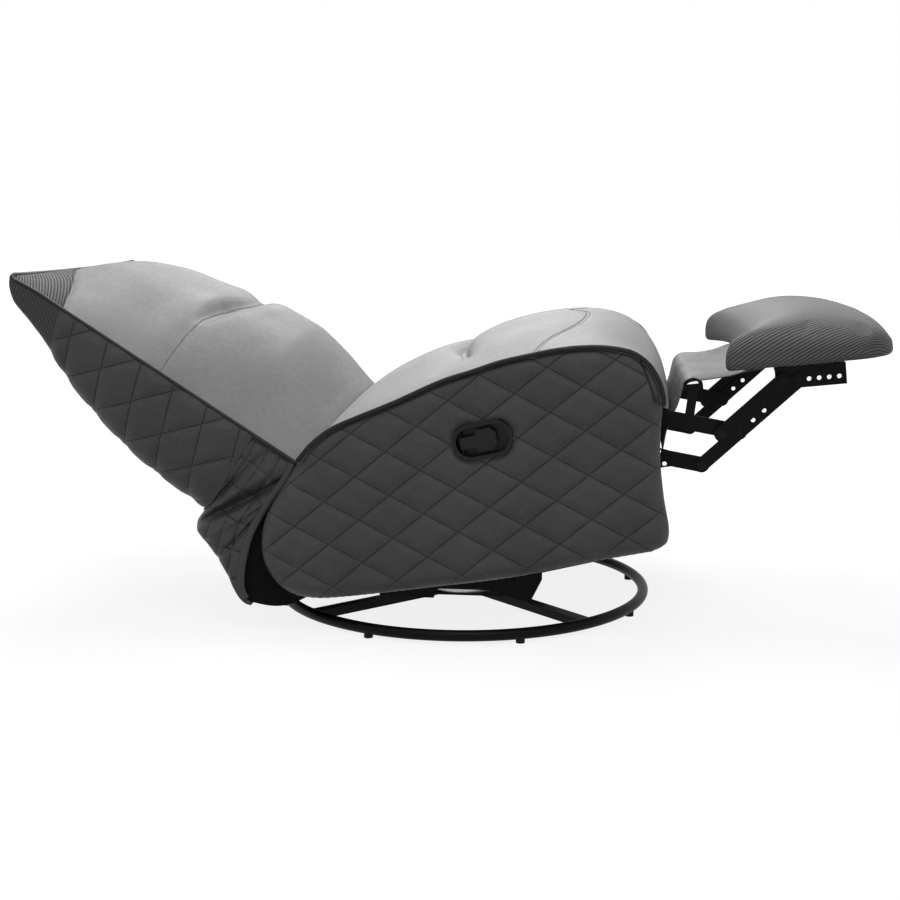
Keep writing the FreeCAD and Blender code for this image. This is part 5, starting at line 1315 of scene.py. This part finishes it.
# %% Hem and lining
LINING_END = [(-240, 334), (-262, 300), (-283, 250), (-291, 195), (-284, 150), (-262, 116), (-246, 94)]
LINING_LENGTH, LINING_ROWS, LINING_COLUMNS = 0.28, 60, 30
HEM_POINTS, HEM_SIDES, HEM_RADIUS, HEM_FLAT = 120, 12, 0.0075, 0.55
hem_path = even_steps(hem_line[:286], HEM_POINTS)
inner, outer = fair_line(SKIRT_FRONT[2:], LINING_ROWS), fair_line(LINING_END, LINING_ROWS)
step = np.linspace(0, 1, LINING_COLUMNS)[None]
dip = 13.0 * np.sin(math.pi * step) * np.linspace(0, 1, LINING_ROWS)[:, None] ** 6
lining_x, lining_z = (inner[:, k, None] + (outer - inner)[:, k, None] * step for k in (0, 1))
for side, label in ((1, "left"), (-1, "right")):
    hem_centre = on_seat(hem_path[:, 0], side * (SKIRT_HALF + 1.0), hem_path[:, 1])
    hem = new_piece(f"skirt_hem_{label}", rings_along(hem_centre, HEM_RADIUS, HEM_SIDES, HEM_FLAT),
                    tube_faces(HEM_POINTS, HEM_SIDES))
    hem.data.materials.append(PLAIN_CHARCOAL)
    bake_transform(hem)
    lining_net = on_seat(lining_x, side * (SKIRT_HALF - 6.0 - 9.0 * step), lining_z - dip)
    lining = new_piece(f"skirt_lining_{label}", lining_net,
                       net_faces(LINING_ROWS, LINING_COLUMNS, flip=side < 0))
    lining.data.materials.append(BLACK_LINING)
    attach(lining, "seat")
print("hems and linings made")

# %% [markdown]
# A welt, a thin cord like piping, covers the seam between cover and skirt all the way round.

# %% Welt
gone = np.linspace(2, half_girth(COVER_START), 160)
out, depth, out_normal, deep_normal = cover_section(np.full_like(gone, COVER_START), gone)
half_welt = np.stack([np.full_like(out, COVER_START - 1.0), -(out + out_normal),
                      BACK_SET - depth - deep_normal], 1)
welt_line = np.vstack([half_welt, half_welt[-2::-1] * (1, -1, 1)])
welt = tube("cover_welt", on_back(*welt_line.T), radius=0.0028, sides=8)
welt.data.materials.append(PLAIN_CHARCOAL)
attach(welt, "back")
print("welt made")

# %% [markdown]
# ## Footrest pad
# The footrest is a wing-shaped pad: hollow towards the sitter, with a horn at each rear corner, and
# domed in the middle. The net runs from the board's edge over the top.

# %% Net of the footrest
FOOT_X, PAD_LOW, PAD_HALF = 634.6, 437.5, 301.0
TIP_REAR, WAIST_REAR, CORNER_FRONT, NOSE_FRONT = 134.0, 84.0, 146.0, 172.0
HORN_LIFT, RIM_HEIGHT, DOME_HEIGHT, RIM_ROUND, CREST = 13.0, 27.0, 44.0, 27.0, -0.15
HORN_ROUND, CORNER_ROUND = 16.0, 52.0
PAD_ROWS, PAD_COLUMNS = 70, 110


def pad_edges(y):
    """Rear and front edge of the pad, with rounded horns and corners."""
    part = np.abs(y) / PAD_HALF
    rear = FOOT_X - WAIST_REAR - (TIP_REAR - WAIST_REAR) * part ** 4
    front = FOOT_X + NOSE_FRONT + (CORNER_FRONT - NOSE_FRONT) * part ** 2
    horn, corner = (reach * corner_cut((np.abs(y) - (PAD_HALF - reach)) / reach)
                    for reach in (HORN_ROUND, CORNER_ROUND))
    return rear + horn, front - corner


run, share = eased(PAD_ROWS, 0.7, 0.3)[:, None], eased(PAD_COLUMNS, 0.7, 0.3)[None]
y = np.broadcast_to(share * PAD_HALF, (PAD_ROWS, PAD_COLUMNS))
rear, front = pad_edges(y)
x = (rear + front) / 2 + (front - rear) / 2 * run
inner = np.minimum((1 - np.abs(run)) * (front - rear) / 2, PAD_HALF - np.abs(y))
rim = quarter_round(inner / RIM_ROUND)
slope = np.where(run > CREST, np.abs((run - CREST) / (1 - CREST)) ** 1.6, ((run - CREST) / (1 + CREST)) ** 2)
dome = (1 - slope) * np.sqrt(clamp(1 - share ** 4))
horn = HORN_LIFT * share ** 6 * clamp(-1.4 * run)
pad_net = on_seat(x, y, PAD_LOW + 1.0 + rim * (RIM_HEIGHT + horn + DOME_HEIGHT * dome))
pad_net = swelled("footrest foam", pad_net, sewn_border(PAD_ROWS, PAD_COLUMNS), pressure=3.0, cap=0.006)
pad_net = doubled(pad_net)
fine = np.broadcast_arrays(x, y, RIM_HEIGHT * (1 - rim), (rear + front) / 2, front - rear)
pad_x, pad_y, drop, pad_mid, pad_span = np.moveaxis(doubled(np.stack(fine, -1)), -1, 0)
print("footrest net", pad_net.shape[:2])

# %% [markdown]
# The cover is turned under the board: loops of points go on from the net's border, down and inwards,
# to a flat underside. The ribs run slantwise over the rim and fade where the cloth is stretched over
# the dome, so every point stores how far along the slant it lies and how strong its rib is.

# %% Footrest pad
TURNED_UNDER = [(434.5, -0.3), (429.5, 0.3), (425.5, 2.5), (423.6, 7.0), (423.3, 16.0), (424.2, 16.0),
                (424.3, 4.0)]
RIB_SLANT, PAD_RIB_PITCH = math.radians(24.0), 4.6
border = border_loop(*pad_net.shape[:2])
count = pad_x.size


def inset_by(distance, level):
    """The pad's net drawn in by a distance and laid at one level."""
    across = pad_mid + (pad_x - pad_mid) * (1 - 2 * distance / pad_span)
    return on_seat(across, pad_y * (1 - distance / PAD_HALF), level).reshape(-1, 3)


def all_layers(values, loops):
    """Values of the net for both faces of the pad, then those of the turned-under loops."""
    return np.concatenate([np.tile(values.ravel(), 2), *loops])


layers = [pad_net.reshape(-1, 3), inset_by(4.0, PAD_LOW + 0.2)]
layers += [inset_by(distance, level)[border] for level, distance in TURNED_UNDER]
faces = net_faces(*pad_net.shape[:2]) + net_faces(*pad_net.shape[:2], start=count, flip=True)
under = [2 * count + k * len(border) + np.arange(len(border)) for k in range(len(TURNED_UNDER))]
loops = [border, *under, border + count]
for upper, lower in zip(loops, loops[1:]):
    faces += wall_faces(upper, lower).tolist()
pad = new_piece("footrest_pad_foam", np.concatenate(layers), faces)
pad.data.materials.append(RIBBED_GREY)
all_x, all_y = (all_layers(values, [values.ravel()[border]] * len(TURNED_UNDER)) for values in (pad_x, pad_y))
all_y = np.abs(all_y)
all_drop = all_layers(drop, [np.full(len(border), RIM_HEIGHT + PAD_LOW - level) for level, _ in TURNED_UNDER])
phase = ((all_y + all_drop) * math.cos(RIB_SLANT) + all_x * math.sin(RIB_SLANT)) / PAD_RIB_PITCH
fade = np.maximum(clamp((all_y - 200) / 90) * 0.7, np.clip(all_drop / 9, 0.1, 1))
mark_points(pad, "rib", phase, fade, 0.0)
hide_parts("footrest_pad")
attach(pad, "footrest")
print("footrest pad", len(pad.data.vertices), "points")

# %% [markdown]
# ## Leg flap
# A leather flap bridges the gap between seat and footrest. It is sewn to the front rail under the
# seat's lip, lies over the flap bar and ends on the footrest's board. Three joints lie under it, and
# the flap is made as three strips that share their edges.

# %% Net of the flap
FLAP_HALF, FLAP_STEPS, FLAP_SAG, FLAP_RIPPLE = 212.0, 120, 9.0, 1.1
FLAP_PATH = [(393, 287), (402, 320), (414, 346), (424, 366), (430, 384), (437, 402), (448, 411),
             (462, 412.5), (490, 412), (520, 414), (545, 420), (575, 422.5)]
flap_path = fair_line(FLAP_PATH, FLAP_STEPS + 1)
flap_run = np.linspace(0, 1, FLAP_STEPS + 1)
flap_share = np.linspace(-1, 1, 81)[None]


def flap_net(first, last):
    """Strip of the flap: its sides sag, and small ripples fade out at the sewn ends."""
    pick = slice(round(first * FLAP_STEPS), round(last * FLAP_STEPS) + 1)
    x, z, run = flap_path[pick, 0, None], flap_path[pick, 1, None], flap_run[pick, None]
    sag = FLAP_SAG * clamp((np.abs(flap_share) - 0.86) / 0.14) ** 2 * clamp((run - 0.2) / 0.2)
    ripple = FLAP_RIPPLE * np.sin(9.0 * flap_share + 14.0 * run)
    ripple = ripple * clamp(run / 0.1) * clamp((1 - run) / 0.1)
    return np.stack(np.broadcast_arrays(x, FLAP_HALF * flap_share, z + ripple - sag), -1)


# %% [markdown]
# Each strip's open edges are marked sharp, because smooth shading would otherwise run round the cut
# edge of the leather.

# %% Leg flap
FLAP_GAUGE, FLAP_SPLITS = 0.0022, (0.0, 0.54, 0.86, 1.0)
FLAP_JOINTS = (("seat", "front_links"), ("front_links", "upper_bars"), ("upper_bars", "footrest"))


def crisp_border(mesh):
    """Marks open edges sharp, so that the cut edge doesn't tint the shading of the face beside it."""
    used = {}
    for face in mesh.polygons:
        for key in face.edge_keys:
            used[key] = used.get(key, 0) + 1
    for edge in mesh.edges:
        edge.use_edge_sharp = used[edge.key] == 1


for index, (bodies, first, last) in enumerate(zip(FLAP_JOINTS, FLAP_SPLITS, FLAP_SPLITS[1:])):
    net = flap_net(first, last)
    strip = new_piece(f"leg_flap_{index + 1}", on_seat(*np.moveaxis(net, -1, 0)), net_faces(*net.shape[:2]))
    strip.data.materials.append(FLAP_GREY)
    crisp_border(strip.data)
    thicken(strip, FLAP_GAUGE, 0.0)
    if index == 0:
        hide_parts("leg_flap")
    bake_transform(strip)

# %% [markdown]
# ## Rocker springs
# Four coil springs stand between the turntable and the seat; on the real chair they bend as it rocks.
# Each is a wire swept along a helix with flattened end turns. All four are one piece, fixed where
# they are drawn.

# %% Coil springs
COILS = [(104.0, 110.5, 247.0), (-115.4, 110.5, 224.0)]
COIL_Y, COIL_RADIUS, COIL_TURNS, WIRE_RADIUS, WIRE_STEPS, WIRE_SIDES = 85.0, 23, 6.5, 0.003, 420, 8
angle = np.linspace(0, 2 * math.pi * COIL_TURNS, WIRE_STEPS)
climb = clamp((angle / (2 * math.pi) - 0.75) / 5.0)
points, faces = [], []
for x, low, high in COILS:
    for y in (COIL_Y, -COIL_Y):
        wire = np.stack([x + COIL_RADIUS * np.cos(angle), y + COIL_RADIUS * np.sin(angle),
                         low + 3 + (high - low - 6) * climb], 1)
        faces += tube_faces(WIRE_STEPS, WIRE_SIDES, start=len(points) * WIRE_STEPS * WIRE_SIDES)
        points.append(rings_along(wire / 1000, WIRE_RADIUS, WIRE_SIDES).reshape(-1, 3))
springs = new_piece("rocker_coils", np.vstack(points), faces)
springs.data.materials.append(BRIGHT_STEEL)
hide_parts("rocker_springs")
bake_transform(springs)
print("coil springs", len(springs.data.vertices), "points")

# %% [markdown]
# ## Floor, light and camera
# The photograph is a studio shot on white. The floor is a plain pale sheet that shows white to the
# camera and still takes the chair's shadow: it glows a little, more so far away, but only for rays
# that show it. For all other rays it is grey, so it throws little light up.

# %% Floor


def is_seen(tree):
    """1 for rays that show the background: straight, mirrored or passing through glass."""
    rays = add_node(tree, "LightPath").outputs
    return sums(tree, "MAXIMUM", rays["Is Camera Ray"],
                sums(tree, "MAXIMUM", rays["Is Glossy Ray"], rays["Is Transmission Ray"]))


FLOOR_CORNERS = np.array([(-30, -30, 0), (30, -30, 0), (30, 30, 0), (-30, 30, 0)], float)
floor = new_piece("floor", FLOOR_CORNERS, [(0, 1, 2, 3)])
paper, tree, shader = new_finish("white paper", Base_Color=(0.6, 0.6, 0.6, 1), Roughness=0.9)
away = add_node(tree, "VectorMath", {0: add_node(tree, "TexCoord").outputs["Object"]}, operation="LENGTH")
brighter = ramp(tree, away.outputs["Value"], 1.5, 5.0, 0.81, 1.0)
glow = add_node(tree, "Emission", {"Color": brighter, "Strength": 1.75})
seen = add_node(tree, "MixShader", {0: 0.6, 1: shader.outputs[0], 2: glow.outputs[0]})
bounce = add_node(tree, "BsdfDiffuse", {"Color": (0.24, 0.24, 0.24, 1)})
lit = add_node(tree, "MixShader", {0: is_seen(tree), 1: bounce.outputs[0], 2: seen.outputs[0]})
tree.links.new(lit.outputs[0], tree.nodes["Material Output"].inputs["Surface"])
floor.data.materials.append(paper)
print("floor ready")

# %% [markdown]
# The world lights the chair weakly from all round, and shows plain white behind it.

# %% World
world = bpy.data.worlds.new("studio")
bpy.context.scene.world = world
world.use_nodes = True
tree = world.node_tree
tree.nodes.clear()
ambient, backdrop = (add_node(tree, "Background", {"Color": (1, 1, 1, 1), "Strength": strength}).outputs[0]
                     for strength in (0.24, 1.0))
both = add_node(tree, "MixShader", {0: is_seen(tree), 1: ambient, 2: backdrop})
tree.links.new(both.outputs[0], add_node(tree, "OutputWorld").inputs["Surface"])
print("world ready")

# %% [markdown]
# One big soft lamp hangs overhead and two more light the chair from the camera's side and from
# behind, at a level where a colour looks as written. The camera stands where the photographer's
# stood, found from the shape of the floor ring.

# %% Lamps and camera
LAMPS = [("overhead", (-0.2, 0.3, 2.5), (-0.1, 0.0, 0.4), 1.5, 29.0),
         ("camera_side", (0.4, -2.1, 2.9), (-0.1, 0.0, 0.45), 1.4, 20.0),
         ("far_side", (-0.4, 2.3, 2.5), (-0.3, 0.0, 0.45), 1.3, 31.0)]
FOCAL_PIXELS, PHOTO_PIXELS, SENSOR = 1433, 900, 36.0
for name, spot, aim, size, power in LAMPS:
    lamp = bpy.data.objects.new(name, bpy.data.lights.new(name, "AREA"))
    lamp.data.size, lamp.data.energy = size, power
    lamp.location = spot
    lamp.rotation_euler = (Vector(aim) - Vector(spot)).to_track_quat("-Z", "Y").to_euler()
    bpy.context.scene.collection.objects.link(lamp)

camera = bpy.data.objects.new("camera", bpy.data.cameras.new("camera"))
camera.location = (0.2908, -2.7257, 0.7474)
camera.rotation_euler = (math.radians(90 - 9.62), 0.0, math.radians(6.65))
camera.data.sensor_width = SENSOR
camera.data.lens = SENSOR * FOCAL_PIXELS / PHOTO_PIXELS
bpy.context.scene.collection.objects.link(camera)
bpy.context.scene.camera = camera
bpy.context.scene.view_settings.view_transform = "Standard"
print("lamps:", len(LAMPS), "lens:", round(camera.data.lens, 2), "mm")
